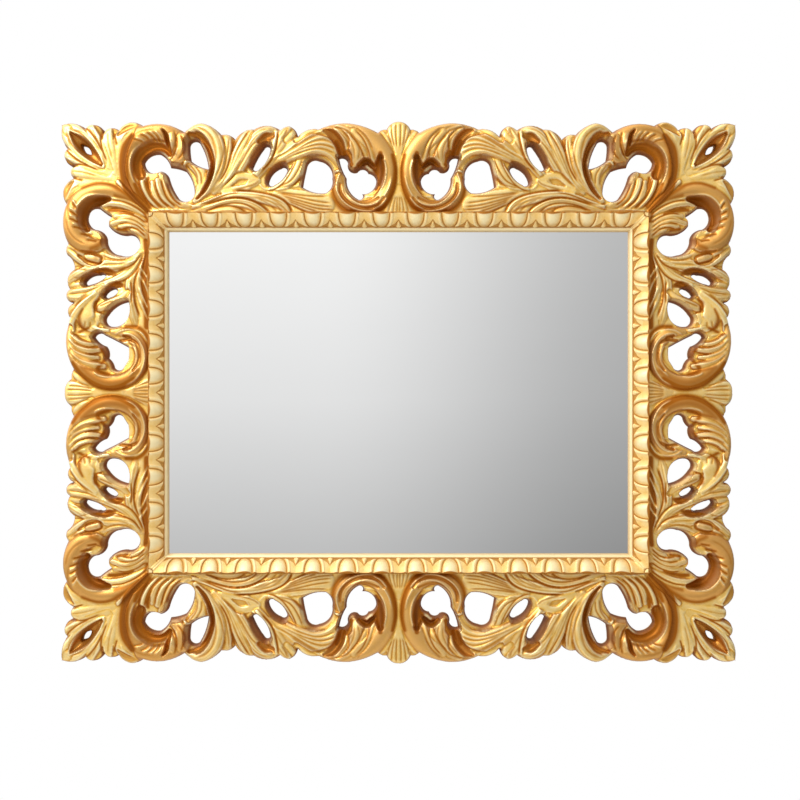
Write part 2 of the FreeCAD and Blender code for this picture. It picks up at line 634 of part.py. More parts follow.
def hanger_screw(along):
    head = post(along, HANGER_OUT, -STRAP_THICK - HANGER_SCREW_HEAD_THICK, -STRAP_THICK, HANGER_SCREW_HEAD)
    return head.fuse(post(along, HANGER_OUT, -STRAP_THICK, HANGER_SCREW_GRIP, HANGER_SCREW_RADIUS))


def hanger_pilot(along):
    return post(along, HANGER_OUT, 0, HANGER_SCREW_GRIP, HANGER_SCREW_RADIUS + SCREW_PLAY)


def wall_bumper():
    foot = spot(-BUMPER_AT[0], -STANDOFF, BUMPER_AT[1])
    return Part.makeCone(BUMPER_FACE_RADIUS, BUMPER_RADIUS, STANDOFF, foot, FORWARD)


# The four sides

os.makedirs("parts", exist_ok=True)
rail = whole_member(half_border(RAIL, RAIL_OUTLINE, RAIL_PIERCINGS, RAIL_ROLLS, RAIL_RIDGES), HALF_WIDTH)
stile = whole_member(
    half_border(STILE, STILE_OUTLINE, STILE_PIERCINGS, STILE_ROLLS, STILE_RIDGES), HALF_HEIGHT
)
rail_screw, rail_button = RAIL.lay(MOULDING_SCREW_RAIL, 0)[0], RAIL.lay(BUTTON_RAIL, 0)[0]
stile_screw, stile_button = STILE.lay(MOULDING_SCREW_STILE, 0)[0], STILE.lay(BUTTON_STILE, 0)[0]
rail = rail.cut(both_ways(moulding_screw(rail_screw, SCREW_PLAY)) + both_ways(button_pilot(rail_button)))
stile = stile.cut(
    both_ways(moulding_screw(stile_screw, SCREW_PLAY))
    + both_ways(button_pilot(stile_button))
    + [hanger_pilot(place) for place in HANGER_SCREWS]
)
rail_moulding = moulding(HALF_WIDTH, EGG_ENDS_RAIL, rail_screw)
stile_moulding = moulding(HALF_HEIGHT, EGG_ENDS_STILE, stile_screw)
SIDES = [
    ("top", rail, rail_moulding, rail_screw, rail_button),
    ("right", stile, stile_moulding, stile_screw, stile_button),
    ("bottom", rail, rail_moulding, rail_screw, rail_button),
    ("left", stile, stile_moulding, stile_screw, stile_button),
]
moulding_screws, button_screws, hanger_screws = [], [], []
button_number = 0
for side, member, side_moulding, screw_along, button_along in SIDES:
    kind = "rail" if side in ("top", "bottom") else "stile"
    save(seat(member, side), f"carved_{kind}_{side}")
    save(seat(side_moulding, side), f"sight_moulding_{side}")
    moulding_screws += [seat(screw, side) for screw in both_ways(moulding_screw(screw_along, 0))]
    for button, screw in zip(both_ways(turn_button(button_along)), both_ways(button_screw(button_along))):
        button_number += 1
        save(seat(button, side), f"turn_button_{button_number}")
        button_screws.append(seat(screw, side))
    if kind == "stile":
        save(seat(hanger_strap(), side), f"hanger_strap_{side}")
        save(seat(hanger_ring(), side), f"hanger_ring_{side}")
        save(seat(wall_bumper(), side), f"wall_bumper_{side}")
        hanger_screws += [seat(hanger_screw(place), side) for place in HANGER_SCREWS]
save(Part.makeCompound(moulding_screws), "moulding_screws")
save(Part.makeCompound(button_screws), "turn_button_screws")
save(Part.makeCompound(hanger_screws), "hanger_screws")

# Glass, board and the corner joints
save(pane(BOARD_THICK, SEAT_HEIGHT), "mirror_glass")
save(pane(0, BOARD_THICK), "backing_board")
for node, piece in (("corner_splines", spline_bar(HALF_WIDTH, 0)), ("moulding_v_nails", v_nail(HALF_WIDTH))):
    upper = both_ways(seat(piece, "top"))
    lower = both_ways(seat(piece, "bottom"))
    save(Part.makeCompound(upper + lower), node)
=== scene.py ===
"""Carved and gilded wall mirror: an openwork border round an egg-and-dart moulding and a plain glass."""

import math

import bmesh
import bpy
import numpy as np
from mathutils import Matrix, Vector
from mathutils.geometry import delaunay_2d_cdt
from mathutils.kdtree import KDTree


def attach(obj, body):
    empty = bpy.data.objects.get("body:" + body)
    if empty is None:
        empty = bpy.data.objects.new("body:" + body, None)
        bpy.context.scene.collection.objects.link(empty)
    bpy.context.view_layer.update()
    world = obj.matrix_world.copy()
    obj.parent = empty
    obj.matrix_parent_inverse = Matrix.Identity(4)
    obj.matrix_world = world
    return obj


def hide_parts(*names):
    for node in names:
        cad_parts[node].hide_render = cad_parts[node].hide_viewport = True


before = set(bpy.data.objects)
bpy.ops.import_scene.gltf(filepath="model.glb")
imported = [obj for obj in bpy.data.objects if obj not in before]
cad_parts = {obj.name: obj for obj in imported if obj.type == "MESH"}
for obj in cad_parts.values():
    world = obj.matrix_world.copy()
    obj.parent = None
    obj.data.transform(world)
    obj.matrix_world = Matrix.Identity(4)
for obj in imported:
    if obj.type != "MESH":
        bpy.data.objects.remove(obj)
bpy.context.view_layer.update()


# Carved border
# Four limewood members, mitred at the corners and splined, pierced right through and carved in relief with
# scrolls, leaves and palmettes. The relief is one quarter, mirrored to the other three. Places are in
# millimetres from the middle of the glass, heights are from the back of the frame.

BACK = 8.0  # from the wall to the back of the frame
GROUND = 25.0
MAP_STEP = 0.8
MAP_SIZE = (512.0, 408.0)
SIGHT_CORNER = (370.0, 267.0)  # where border and moulding meet
MITRE_GAP = SIGHT_CORNER[0] - SIGHT_CORNER[1]
LEAF_FALL = 1.7
LEAF_FALL_SHARE = 0.34  # the fall of a narrow leaf's sides, as a share of its half width
FLUTE_DEPTH = 0.5
FLUTE_FULL_WIDTH = 8.0  # half width from which flutes are cut to their full depth
FLUTE_FADE = 5.0
# painted shade in the grooves of flutes and towards the sides of flat leaves
FLUTE_SHADE = 0.36
EDGE_SHADE = 0.35
CUT_SINK = 0.5
# brown glaze painted as shade in cuts
CUT_SHADE = 0.3
CUT_SHADE_MOST = 0.75
RIM_LIFT = 0.7
# share of a fine ridge's warm tone that is taken off, together with all its glaze, as a painted highlight
RIM_HIGHLIGHT = 0.85
LINE_FADE = 0.12  # share of a fine line that fades at each end
LINE_END = 0.25  # what is left of it at the very end


def smooth_row(stations, steps=6):
    """A smooth row of stations through the given ones."""
    given = np.array(stations, float)
    padded = np.vstack([2 * given[0] - given[1], given, 2 * given[-1] - given[-2]])
    rows = []
    for before, start, end, after in zip(padded, padded[1:], padded[2:], padded[3:]):
        for share in np.arange(steps) / steps:
            rows.append(
                start
                + 0.5 * share * (end - before)
                + share**2 * (before - 2.5 * start + 2 * end - 0.5 * after)
                + share**3 * (1.5 * (start - end) + 0.5 * (after - before))
            )
    return np.vstack(rows + [given[-1]])


class Relief:
    """Maps over one quarter of the border: the carving's height, how warm its gold is and how much brown
    glaze and painted shade lie on it."""

    def __init__(self):
        self.across = np.arange(0, MAP_SIZE[0], MAP_STEP)
        self.up = np.arange(0, MAP_SIZE[1], MAP_STEP)
        self.height = np.full((len(self.across), len(self.up)), GROUND)
        self.warmth = np.zeros_like(self.height)
        self.glaze = np.zeros_like(self.height)

    def near(self, row, reach):
        """The part of the map within reach of a row, with each place's distance and nearest station."""
        low = np.maximum((row[:, :2].min(0) - reach) / MAP_STEP, 0).astype(int)
        high = ((row[:, :2].max(0) + reach) / MAP_STEP).astype(int) + 2
        part = (slice(low[0], high[0]), slice(low[1], high[1]))
        across, up = np.meshgrid(self.across[part[0]], self.up[part[1]], indexing="ij")
        best = np.full(across.shape, np.inf)
        station = np.zeros(across.shape)
        for index, (start, end) in enumerate(zip(row[:, :2], row[1:, :2])):
            run = end - start
            share = ((across - start[0]) * run[0] + (up - start[1]) * run[1]) / max(run @ run, 1e-9)
            share = np.clip(share, 0, 1)
            distance = np.hypot(across - start[0] - share * run[0], up - start[1] - share * run[1])
            closer = distance < best
            best[closer] = distance[closer]
            station[closer] = index + share[closer]
        return part, best, station

    def form(self, stations, warm=0.0, full=None, flutes=0):
        """A rounded form along stations of (across, up, half width, crest height), laid over what is there.
        Its sides fall by a share of the half width, or like a flat leaf's where no share is given, and in
        that case they are also painted darker towards its edges as shade. The grooves of its flutes are
        painted darker as shade too."""
        row = smooth_row(stations)
        part, distance, station = self.near(row, row[:, 2].max())
        numbers = np.arange(len(row))
        width = np.interp(station, numbers, row[:, 2])
        crest = np.interp(station, numbers, row[:, 3])
        share = np.minimum(distance / width, 1)
        fall = np.minimum(LEAF_FALL_SHARE * width, LEAF_FALL) if full is None else full * width
        height = crest - fall * (1 - np.sqrt(1 - share**2))
        glaze = EDGE_SHADE * share**3 if full is None else 0 * share
        if flutes:
            groove = (0.5 - 0.5 * np.cos(2 * math.pi * (flutes - 0.5) * share)) ** 3
            from_edge = FLUTE_FADE * (1 - share)
            depth = FLUTE_DEPTH * np.clip(width / FLUTE_FULL_WIDTH, 0, 1)
            height -= depth * groove * np.clip(from_edge, 0, 1)
            glaze = np.maximum(glaze, FLUTE_SHADE * groove * np.clip(from_edge - 1, 0, 1))
        inside = distance < width
        self.height[part][inside] = height[inside]
        self.warmth[part][inside] = warm
        self.glaze[part][inside] = glaze[inside]

    def hollow(self, stations, warm=1.0, glaze=0.0):
        """A scooped channel along stations of (across, up, half width, floor height), painted warmer and
        browner towards its floor as shade.
        """
        row = smooth_row(stations)
        part, distance, station = self.near(row, row[:, 2].max())
        numbers = np.arange(len(row))
        width = np.interp(station, numbers, row[:, 2])
        floor = np.interp(station, numbers, row[:, 3])
        share = np.clip(distance / width, 0, 1)
        height = floor + (self.height[part] - floor) * share**2.5
        self.height[part] = np.minimum(self.height[part], height)
        self.warmth[part] += (warm - self.warmth[part]) * (1 - share**4)
        self.glaze[part] = np.maximum(self.glaze[part], glaze * (1 - share**3))

    def shade(self, stations, glaze):
        """Painted shade: brown glaze along stations of (across, up, half width), fading to the sides."""
        row = smooth_row(stations)
        part, distance, station = self.near(row, row[:, 2].max())
        width = np.interp(station, np.arange(len(row)), row[:, 2])
        share = np.clip(distance / width, 0, 1)
        self.glaze[part] = np.maximum(self.glaze[part], glaze * (1 - share**2) ** 2)

    def line(self, points, rise, width, sharp=2.0):
        """A fine ridge that is painted paler as a highlight, or, where the rise is negative, a cut with
        brown glaze painted in it as shade. Either one fades at both ends.
        """
        row = smooth_row(points)
        part, distance, station = self.near(row, width)
        ends = np.minimum(station, len(row) - 1 - station) / (LINE_FADE * len(row))
        profile = np.clip(1 - distance / width, 0, 1) ** sharp * np.clip(LINE_END + ends, 0, 1)
        if rise < 0:
            glaze = min(CUT_SHADE_MOST, -CUT_SHADE * rise)
            self.height[part] += CUT_SINK * rise * profile
            self.glaze[part] = np.maximum(self.glaze[part], glaze * profile)
        else:
            self.height[part] += RIM_LIFT * rise * profile
            self.warmth[part] *= 1 - RIM_HIGHLIGHT * profile
            self.glaze[part] *= 1 - profile

    def sample(self, values, across, up):
        """Values of a map at given places, between its points."""
        column = np.clip(across / MAP_STEP, 0, len(self.across) - 1.001)
        rank = np.clip(up / MAP_STEP, 0, len(self.up) - 1.001)
        low_column, low_rank = column.astype(int), rank.astype(int)
        far_column, far_rank = column - low_column, rank - low_rank
        near = values[low_column, low_rank] * (1 - far_rank) + values[low_column, low_rank + 1] * far_rank
        low_column += 1
        far = values[low_column, low_rank] * (1 - far_rank) + values[low_column, low_rank + 1] * far_rank
        return near * (1 - far_column) + far * far_column


carving = Relief()
later = []  # hollows, painted shade and fine lines, worked once the forms have been levelled


def forms(*rows, **options):
    for row in rows:
        carving.form(row, **options)


def hollows(*rows, **options):
    later.extend((carving.hollow, (row,), options) for row in rows)


def shades(*rows, glaze=0.5):
    later.extend((carving.shade, (row, glaze), {}) for row in rows)


# Fine ridges, painted paler as highlight
def rims(*rows, rise=2.0, width=3.0):
    later.extend((carving.line, (row, rise, width), {}) for row in rows)


# Fine cuts, with brown glaze painted in them as shade
def cuts(*rows, depth=2.0, width=1.9):
    later.extend((carving.line, (row, -depth, width), {"sharp": 1.0}) for row in rows)


# Rail: fan of leaves under the first piercing, and the leaf between it and the first eyelet
forms([(190, 298, 5, 27), (160, 291, 11, 28), (130, 283, 15, 28), (108, 279, 13, 27)], full=0.12)
cuts(
    [(178, 297), (150, 293), (128, 291), (106, 291)],
    [(180, 296), (150, 289.5), (124, 284), (101, 281)],
    [(174, 292), (146, 284), (122, 278), (99, 275.5)],
    [(168, 288), (142, 279), (120, 273), (97, 271)],
    [(164, 284), (140, 274.5), (122, 269)],
    [(160, 279), (146, 272), (138, 268)],
    depth=1.9,
)
forms([(190, 301, 5, 27), (168, 309, 8, 29), (153, 325, 9.5, 30), (143, 341, 9, 29), (139, 348, 6, 27)])
cuts(
    [(180, 302), (160, 306), (147, 315), (141, 327)],
    [(178, 304), (160, 313), (149, 328), (142, 345)],
    depth=2.0,
)
rims([(187, 300), (166, 303), (152, 306), (143, 308)], rise=1.4)

# Rail: arched leaf that springs from the main leaf
forms(
    [(205, 337, 8, 28), (178, 347, 12, 30), (152, 359, 14.5, 32), (127, 366, 15, 32), (107, 362, 13, 30),
     (95, 350, 9, 28), (87, 334, 5, 26)],
    warm=0.3,
)
forms([(152, 372, 4, 28), (139, 382, 5.5, 29), (126, 389, 5, 26)])
shades(
    [(118, 383, 5), (135, 374, 6), (155, 362, 5)],
    [(98, 362, 4), (120, 364, 4), (150, 352, 4)],
    glaze=0.35,
)
rims(
    [(106, 389), (120, 385), (133, 378.5), (150, 369), (165, 357.5), (178, 350), (195, 342)],
    [(92, 369), (104, 375), (115, 376), (130, 371), (150, 360), (170, 350)],
    [(91, 362), (104, 367), (118, 368), (135, 363.5), (155, 354.5), (180, 344)],
    [(93, 356), (105, 361), (118, 362.5), (135, 359), (152, 353), (176, 343)],
    [(84, 329), (92, 341), (101, 350), (112, 355), (125, 356.5), (140, 352.5), (165, 343)],
    rise=2.4, width=3.0,
)
cuts(
    [(104, 382), (118, 380), (135, 371.5), (155, 359), (180, 346.5)],
    [(93, 365.5), (104, 371), (116, 372), (130, 368), (150, 358)],
    [(92, 359), (105, 364), (118, 365.2), (135, 361.3), (152, 355), (172, 346)],
    [(95, 353), (108, 358.5), (122, 359.5), (138, 355.5), (155, 349)],
    depth=1.4, width=1.7,
)
hollows([(110, 387, 3, 24), (99, 381, 7, 21), (89, 369, 7.5, 18), (84, 353, 6, 15)], warm=1.0, glaze=0.3)
shades([(92, 372, 6), (85, 358, 7), (80, 346, 6)], glaze=0.75)

# Rail: nested leaves along the moulding
forms(
    [(160, 266, 5, 25), (172, 278, 7, 27), (192, 286, 8, 29), (218, 291, 7, 30), (243, 292, 5.5, 30),
     (266, 288, 4.5, 29), (286, 281, 4, 28), (303, 276, 3.5, 28), (312, 277, 3.5, 28), (324, 284, 3, 28)],
    [(198, 266, 5, 25), (211, 275, 7, 27), (228, 281, 7, 28), (246, 282, 6.5, 28), (265, 279, 6, 28),
     (284, 273, 5, 27), (302, 270, 3, 26)],
    [(230, 266, 5, 25), (244, 271, 6, 27), (262, 271, 6, 27), (282, 267, 4, 26)],
    full=0.22, flutes=2,
)
cuts(
    [(158, 267), (162, 276), (171, 285.5), (187, 292.5), (206, 296.5), (230, 299), (244, 299)],
    [(190, 266), (200, 275), (213, 283), (226, 287.3), (241, 289), (257, 287), (274, 282.5), (292, 277)],
    depth=3.4, width=2.8,
)
cuts(
    [(234, 295.5), (250, 294), (268, 288), (284, 282), (299, 279), (309, 280)],
    [(208, 266), (217, 274), (229, 279.5), (245, 281), (262, 278.5), (280, 273)],
    [(226, 267), (236, 273.5), (250, 276.5), (266, 275), (286, 269.5)],
    depth=2.2, width=2.0,
)
cuts(
    [(166, 268), (174, 278), (190, 287.5), (206, 291)],
    [(173, 268), (182, 278), (198, 286.5), (214, 289.5)],
    [(180, 268), (191, 278.5), (207, 286.5)],
    depth=1.3, width=1.5,
)
rims(
    [(161.5, 267), (167, 278), (180, 287.5), (203, 294), (231, 297.5), (251, 296), (270, 290.5),
     (288, 282.5), (305, 277), (316, 279), (326, 286)],
    [(194, 267), (204, 275.5), (217, 282), (230, 285.3), (245, 286.3), (260, 284), (280, 277.5),
     (300, 271.5)],
    rise=1.5, width=2.6,
)

# Rail: main leaf, its broad lobes spreading from the root beside the corner scroll
forms(
    [(226, 303, 5, 27), (206, 329, 8, 29), (190, 350, 10.5, 31), (177, 370, 12, 32), (166, 387, 9, 30)],
    flutes=2,
)
forms([(166, 372, 5, 30), (158, 381, 5, 29), (156, 387, 4, 27)])
forms(
    [(266, 300, 5, 28), (246, 320, 9, 31), (231, 343, 10, 33), (218, 364, 10, 34), (206, 379, 9, 34),
     (192, 387, 7, 32), (184, 387, 4, 30)],
    [(274, 298, 5, 28), (255, 318, 8, 31), (241, 345, 8.5, 33), (231, 368, 8.5, 33), (222, 385, 6.5, 30)],
    [(288, 294, 4, 28), (268, 315, 8, 31), (257, 337, 8, 32), (254, 359, 7, 32), (254, 377, 6, 29)],
    [(302, 284, 4, 28), (286, 303, 8, 31), (273, 325, 10, 33), (267, 349, 10.5, 35), (271, 371, 10.5, 36),
     (284, 387, 9.5, 36), (299, 391, 7, 34), (312, 384, 4, 30)],
    flutes=3,
)
forms(
    [(214, 319, 2.6, 30), (203, 330, 2.8, 32), (193.5, 341, 2.8, 33), (187, 354, 3, 34),
     (183.5, 369, 3.2, 34), (180.5, 384, 3, 31)],
)
hollows([(187, 378, 4, 27), (196, 377, 6, 24), (206, 370, 4, 27)], warm=0.9, glaze=0.35)
cuts(
    [(221, 387), (228, 376), (236, 362.5), (242.5, 350), (247.5, 337.5), (253, 324), (262, 308)],
    [(243, 376), (246, 361), (249.5, 345), (255, 328), (266, 310)],
    [(178, 387), (180, 369), (184.5, 352), (191, 340), (205, 325)],
    depth=2.6, width=2.4,
)
cuts(
    [(195, 388), (204, 385), (213, 379), (221, 370), (229, 357)],
    [(206, 371), (216, 364), (225, 352), (233, 338), (246, 318), (262, 304)],
    [(251, 375), (252, 360), (254.5, 345), (258, 331), (265, 316)],
    [(257.5, 375), (257.5, 360), (260, 346), (264, 333), (272, 317)],
    [(299, 390), (286, 384), (277, 375), (272.5, 363), (270.5, 349), (272, 335)],
    [(304, 387), (292, 381), (283, 372), (278, 362)],
    [(165, 389), (168, 381), (173, 373)],
    [(206, 314), (214, 308), (226, 304), (240, 301)],
    depth=1.7, width=1.7,
)
rims(
    [(192, 387), (205, 383), (216, 374), (225, 361), (236, 341), (250, 320), (266, 304)],
    [(226, 383), (236, 366), (244, 349), (250, 333), (258, 317), (272, 302)],
    [(290, 393), (278, 385), (269, 371), (265, 352), (267, 335), (275, 316), (290, 298)],
    rise=1.2, width=3.4,
)
hollows(
    [(311, 382, 2.5, 25), (297, 377, 4, 22), (284, 365, 4, 21), (278, 352, 3.6, 21), (275.5, 338, 3.6, 21),
     (277, 325, 3.6, 21), (282, 311, 3.6, 22), (289, 299, 3.4, 22), (299, 289, 3, 23)],
    warm=1.0, glaze=0.45,
)
rims(
    [(291, 369), (285, 356), (281.5, 341), (282, 326), (287, 310), (295, 296), (303, 287)],
    rise=6, width=2.6,
)

# Rail: two ridges with a sunk panel between the eyelets and the root of the main leaf
forms(
    [(209, 314, 4, 27), (222, 320, 5, 27.6), (236, 321, 5, 27.8), (247, 313, 4.5, 28), (258, 302, 4, 28)],
    [(212, 311, 4, 27), (226, 305, 4, 27.4), (243, 302, 4, 27.6), (260, 298, 4, 28)],
    full=0.1,
)
shades([(224, 312.5, 4), (235, 312, 5), (245, 307, 3)], glaze=0.2)

# Rail: raised lips of the two eyelets, painted pale as highlight, and painted shade round them
shades([(168, 341, 5), (184, 334, 5), (196, 319, 5), (196, 306, 4)], glaze=0.5)
shades([(193, 374, 5), (206, 364, 5), (217, 348, 5), (221, 334, 4)], glaze=0.5)
cuts([(151, 345), (157, 331), (165, 317.5), (174, 307.5), (185, 300.5), (196, 299)], depth=2.6, width=2.2)
rims(
    [(153, 346), (160, 328), (173, 310), (188, 301.5), (200, 302.5), (208, 311)],
    [(187, 372), (190, 357), (196, 344), (203, 331.5), (211, 325), (220, 326), (226, 334)],
    rise=2.0, width=2.4,
)

# Rail: small leaf and collar between the curled lobe and the corner scroll
forms([(300, 291, 4, 26), (293, 309, 7, 28), (294, 325, 8.5, 29), (304, 335, 7, 29), (313, 341, 4.5, 29)])
cuts([(309, 336), (300, 323), (298, 306)], [(302, 336), (293, 322), (292, 308)], depth=1.8)
shades([(306, 338, 4), (313, 334, 5), (316, 330, 4)], glaze=0.4)
forms([(310.5, 344, 1.8, 32), (314.5, 340.5, 2.2, 33), (318, 336, 1.8, 32)])

# Rail: palmette in the middle
forms([(0, 300, 5, 28), (0, 322, 4.5, 29), (0, 345, 8, 30), (0, 372, 17, 31), (0, 392, 17, 30)], full=0.1)
forms([(0, 304, 4.5, 28), (0, 288, 12, 28), (0, 268, 22, 26)], full=0.06)
forms([(8, 352, 3, 29), (16, 368, 5.5, 31), (24, 379, 6, 29), (29, 384, 4, 27)])
cuts(
    [(3.5, 397), (3.5, 380), (2.5, 362)],
    [(11, 396), (9.5, 380), (6, 362)],
    [(17, 389), (14, 377), (10, 366)],
    depth=1.8, width=1.8,
)
cuts(
    [(2, 268), (2, 280), (1.5, 290)],
    [(8, 268), (6.5, 280), (4, 290)],
    [(15, 268), (12, 279), (8, 289)],
    depth=1.5, width=1.7,
)

# Rail: large scroll beside the palmette, with its claws, its throat and the ridges round its lower loop
forms(
    [(112, 388, 4, 27), (92, 390, 8, 32), (72, 388, 12, 35), (50, 381, 15, 36), (33, 367, 15, 36),
     (20, 349, 13.5, 36), (14, 331, 10.5, 36), (14, 312, 10, 35), (19, 296, 10, 34), (29, 283, 10.5, 33),
     (43, 276, 10, 32), (58, 275.5, 9.5, 31), (72, 280, 9.5, 31), (84, 290, 9.5, 30), (90, 304, 9, 29),
     (89, 318, 6, 27), (86, 330, 3, 26)],
    warm=0.75, full=0.55,
)
forms(
    [(90, 389, 7, 34), (75, 379, 11, 35), (63, 365, 13, 35), (57, 354, 12, 33)],
    [(66, 384, 6, 35), (52, 370, 7, 35), (43, 354, 5.5, 33), (36.5, 338, 4, 28)],
    [(62, 366, 5, 35), (51, 357, 4.5, 32), (48, 348, 3, 28)],
    [(74, 376, 6, 35), (63, 360, 8, 34), (62, 347, 7.5, 32), (66, 336, 4, 27)],
    [(92, 386, 5, 33), (80, 374, 6, 32), (77, 362, 3.5, 27)],
    warm=0.4,
)
cuts(
    [(64, 386), (53, 374), (46, 360), (42.5, 348), (41, 339)],
    [(72, 380), (62, 369), (55, 357), (52, 346)],
    depth=2.2, width=2.0,
)
cuts(
    [(78, 388), (66, 374), (58, 358), (60, 343)],
    [(84, 386), (73, 373), (66, 358), (66, 344)],
    [(88, 384), (78, 373), (73, 361), (72, 350)],
    [(98, 391), (80, 386), (66, 376)],
    [(106, 392), (86, 389), (72, 383)],
    [(62, 390), (48, 376), (38, 358)],
    depth=1.6, width=1.6,
)
shades(
    [(27, 352, 5), (26, 335, 8), (27, 318, 8), (34, 303, 6)],
    [(34, 332, 6), (46, 341, 6), (56, 335, 6), (66, 329, 5)],
    glaze=0.95,
)
shades([(78, 356, 5), (74, 346, 6), (70, 337, 5)], glaze=0.8)
hollows(
    [(27, 346, 5, 22), (30, 330, 9, 18), (32, 314, 8, 18)],
    [(38, 335, 4, 16), (48, 342, 5, 15), (58, 336, 4, 15)],
    warm=1.0, glaze=0.6,
)
shades(
    [(9, 350, 5), (5, 330, 6), (7, 308, 7), (14, 288, 8), (28, 272, 9), (50, 267, 8), (70, 270, 7)],
    glaze=0.6,
)
hollows(
    [(30, 288, 2.2, 30), (43, 283.5, 2.4, 29), (56, 283, 2.4, 28), (67, 287, 2.2, 28)],
    [(22, 288, 2.2, 30), (34, 276, 2.4, 29), (50, 273, 2.2, 28), (66, 277, 2.4, 28), (79, 286, 2.6, 27),
     (86, 297, 2.6, 26), (86.5, 309, 2.4, 26)],
    warm=0.8, glaze=0.4,
)
shades([(70, 267, 6), (85, 274, 8), (95, 288, 8), (98, 304, 7), (95, 320, 5)], glaze=0.5)
rims(
    [(26, 345), (21.5, 341), (18.5, 330), (19, 318), (22.5, 307), (29, 298), (38, 291.5), (50, 290)],
    [(10, 318), (13.5, 304), (20, 292), (29, 282), (38, 278.5), (49, 277.5), (59, 279.5), (68, 285),
     (76, 294), (80, 304), (79, 314)],
    [(17, 288), (26, 277.5), (37, 272.5)],
    [(32, 270), (46, 268.5), (62, 271), (76, 278), (86, 288), (91.5, 299), (92, 309), (88.5, 321),
     (85, 329)],
    rise=3.4, width=2.6,
)
forms([(83, 329, 1.8, 30), (88.5, 328, 2.2, 31), (94, 326.5, 1.8, 30)])

# Rail: corner scroll with its curled end, fringe and claws
hollows(
    [(340, 353, 4, 19), (347, 360, 5.5, 18), (357, 363, 6.5, 17), (369, 361, 8, 16), (380, 352, 10, 16),
     (386, 338, 10, 16), (383, 322, 8, 17)],
    [(349, 386, 1.5, 31), (344, 379, 3, 26), (342, 367, 4, 21), (340, 355, 4, 20)],
    warm=1.0, glaze=0.5,
)
forms(
    [(372, 270, 6, 26), (386, 287, 9, 29), (397, 303, 10, 32), (403.5, 320, 10, 34), (405, 337, 10, 35),
     (402, 355, 11, 36), (394, 371, 13, 37), (381, 381, 14, 37), (365, 386, 14, 37), (348, 385, 14, 37),
     (333, 377, 14, 36), (324, 363, 13, 35), (324, 349, 10, 33), (330, 341, 6, 29)],
    warm=0.9, full=0.6,
)
shades(
    [(376, 270, 9), (392, 288, 11), (402, 303, 11), (406, 320, 12), (407, 340, 13), (404, 360, 12),
     (394, 377, 9)],
    glaze=0.8,
)
cuts(
    [(404, 379), (397, 385.5), (386, 390), (370, 392)],
    [(398, 372), (390, 379), (378, 384), (362, 386)],
    depth=1.0, width=2.2,
)
rims(
    [(374, 366), (384, 362.5), (392, 354), (396.5, 342), (396.5, 328), (392.5, 315), (385, 303)],
    rise=3.6, width=3.4,
)


def lobes(*roots_and_tips, bow, groove, cut, lip):
    """Lobes along a scroll's edge, each a pale lip from its root to its tip with a cut beside it."""
    for root, tip in roots_and_tips:
        row = [root, np.add(root, tip) / 2 + bow, tip]
        cuts(np.add(row, groove), **cut)
        rims(row, **lip)


lobes(
    ((359, 384), (350.5, 368.5)),
    ((367, 383.5), (357, 370.5)),
    ((377, 381), (365.5, 370.5)),
    ((388, 374), (374, 367.5)),
    bow=(-2, 1),
    groove=[(4, -2), (4, -1), (4, 1)],
    cut={"depth": 2.2},
    lip={"rise": 2.4, "width": 2.6},
)
forms([(320, 374, 9, 36), (319, 360, 10, 37), (324, 347, 9, 35), (334, 341, 6, 31)], warm=0.8, full=0.4)
forms([(336, 378, 4.5, 37), (336, 367, 5.5, 38), (338, 357, 3.5, 34)], warm=0.6, full=0.4)
cuts(
    [(331, 384), (328.5, 371), (330, 358), (337, 348)],
    [(322, 380), (317.5, 366), (319, 352), (327, 343)],
    depth=2.2, width=2.2,
)
rims([(338, 372), (335.5, 366), (336, 360)], [(327, 360), (329, 353), (335, 346)], rise=1.8, width=2.6)
forms(
    [(311, 275, 4, 26), (328, 282, 6, 28), (338, 295, 7, 29), (344, 310, 7, 30), (351, 323, 6.5, 29)],
    [(330, 274, 4, 26), (345, 285, 5, 29), (354, 300, 5.5, 31), (358, 314, 4.5, 30)],
    [(342, 273, 4, 26), (355, 284, 4, 28), (363, 299, 4.5, 29), (366, 312, 3, 28)],
    [(350, 272, 4, 26), (366, 285, 5, 28), (376, 301, 5, 30), (380, 316, 5, 30), (382, 327, 4, 28)],
    warm=0.1, flutes=2,
)
shades(
    [(352, 276, 5), (366, 290, 5), (372, 306, 5), (372, 318, 4)],
    [(370, 276, 6), (384, 292, 6), (391, 308, 5)],
    glaze=0.6,
)
cuts(
    [(330, 275), (342, 286), (349, 301), (352, 316)],
    [(340, 274), (352, 285), (359, 300), (362, 314)],
    [(352, 273), (366, 287), (374, 303), (377, 317)],
    [(362, 273), (376, 288), (384, 305), (387, 321)],
    [(322, 277), (334, 287), (341, 300), (345, 313)],
    depth=2.6, width=2.2,
)
rims(
    [(312, 280), (326, 285), (336, 296), (342, 310), (348, 324)],
    [(335, 275), (349, 288), (356.5, 303), (359, 316)],
    [(348, 275), (362, 289), (369, 303)],
    [(358, 275), (371, 289), (379, 305), (383, 325)],
    rise=1.4, width=2.4,
)
rims([(310, 271), (330, 271.5), (350, 271), (368, 270)], rise=2.0, width=2.2)

# Corner leaf, alike on both sides of the mitre: a broad pale fan round a pointed recess


def across_mitre(row):
    return [(up + MITRE_GAP, across - MITRE_GAP, *rest) for across, up, *rest in row]


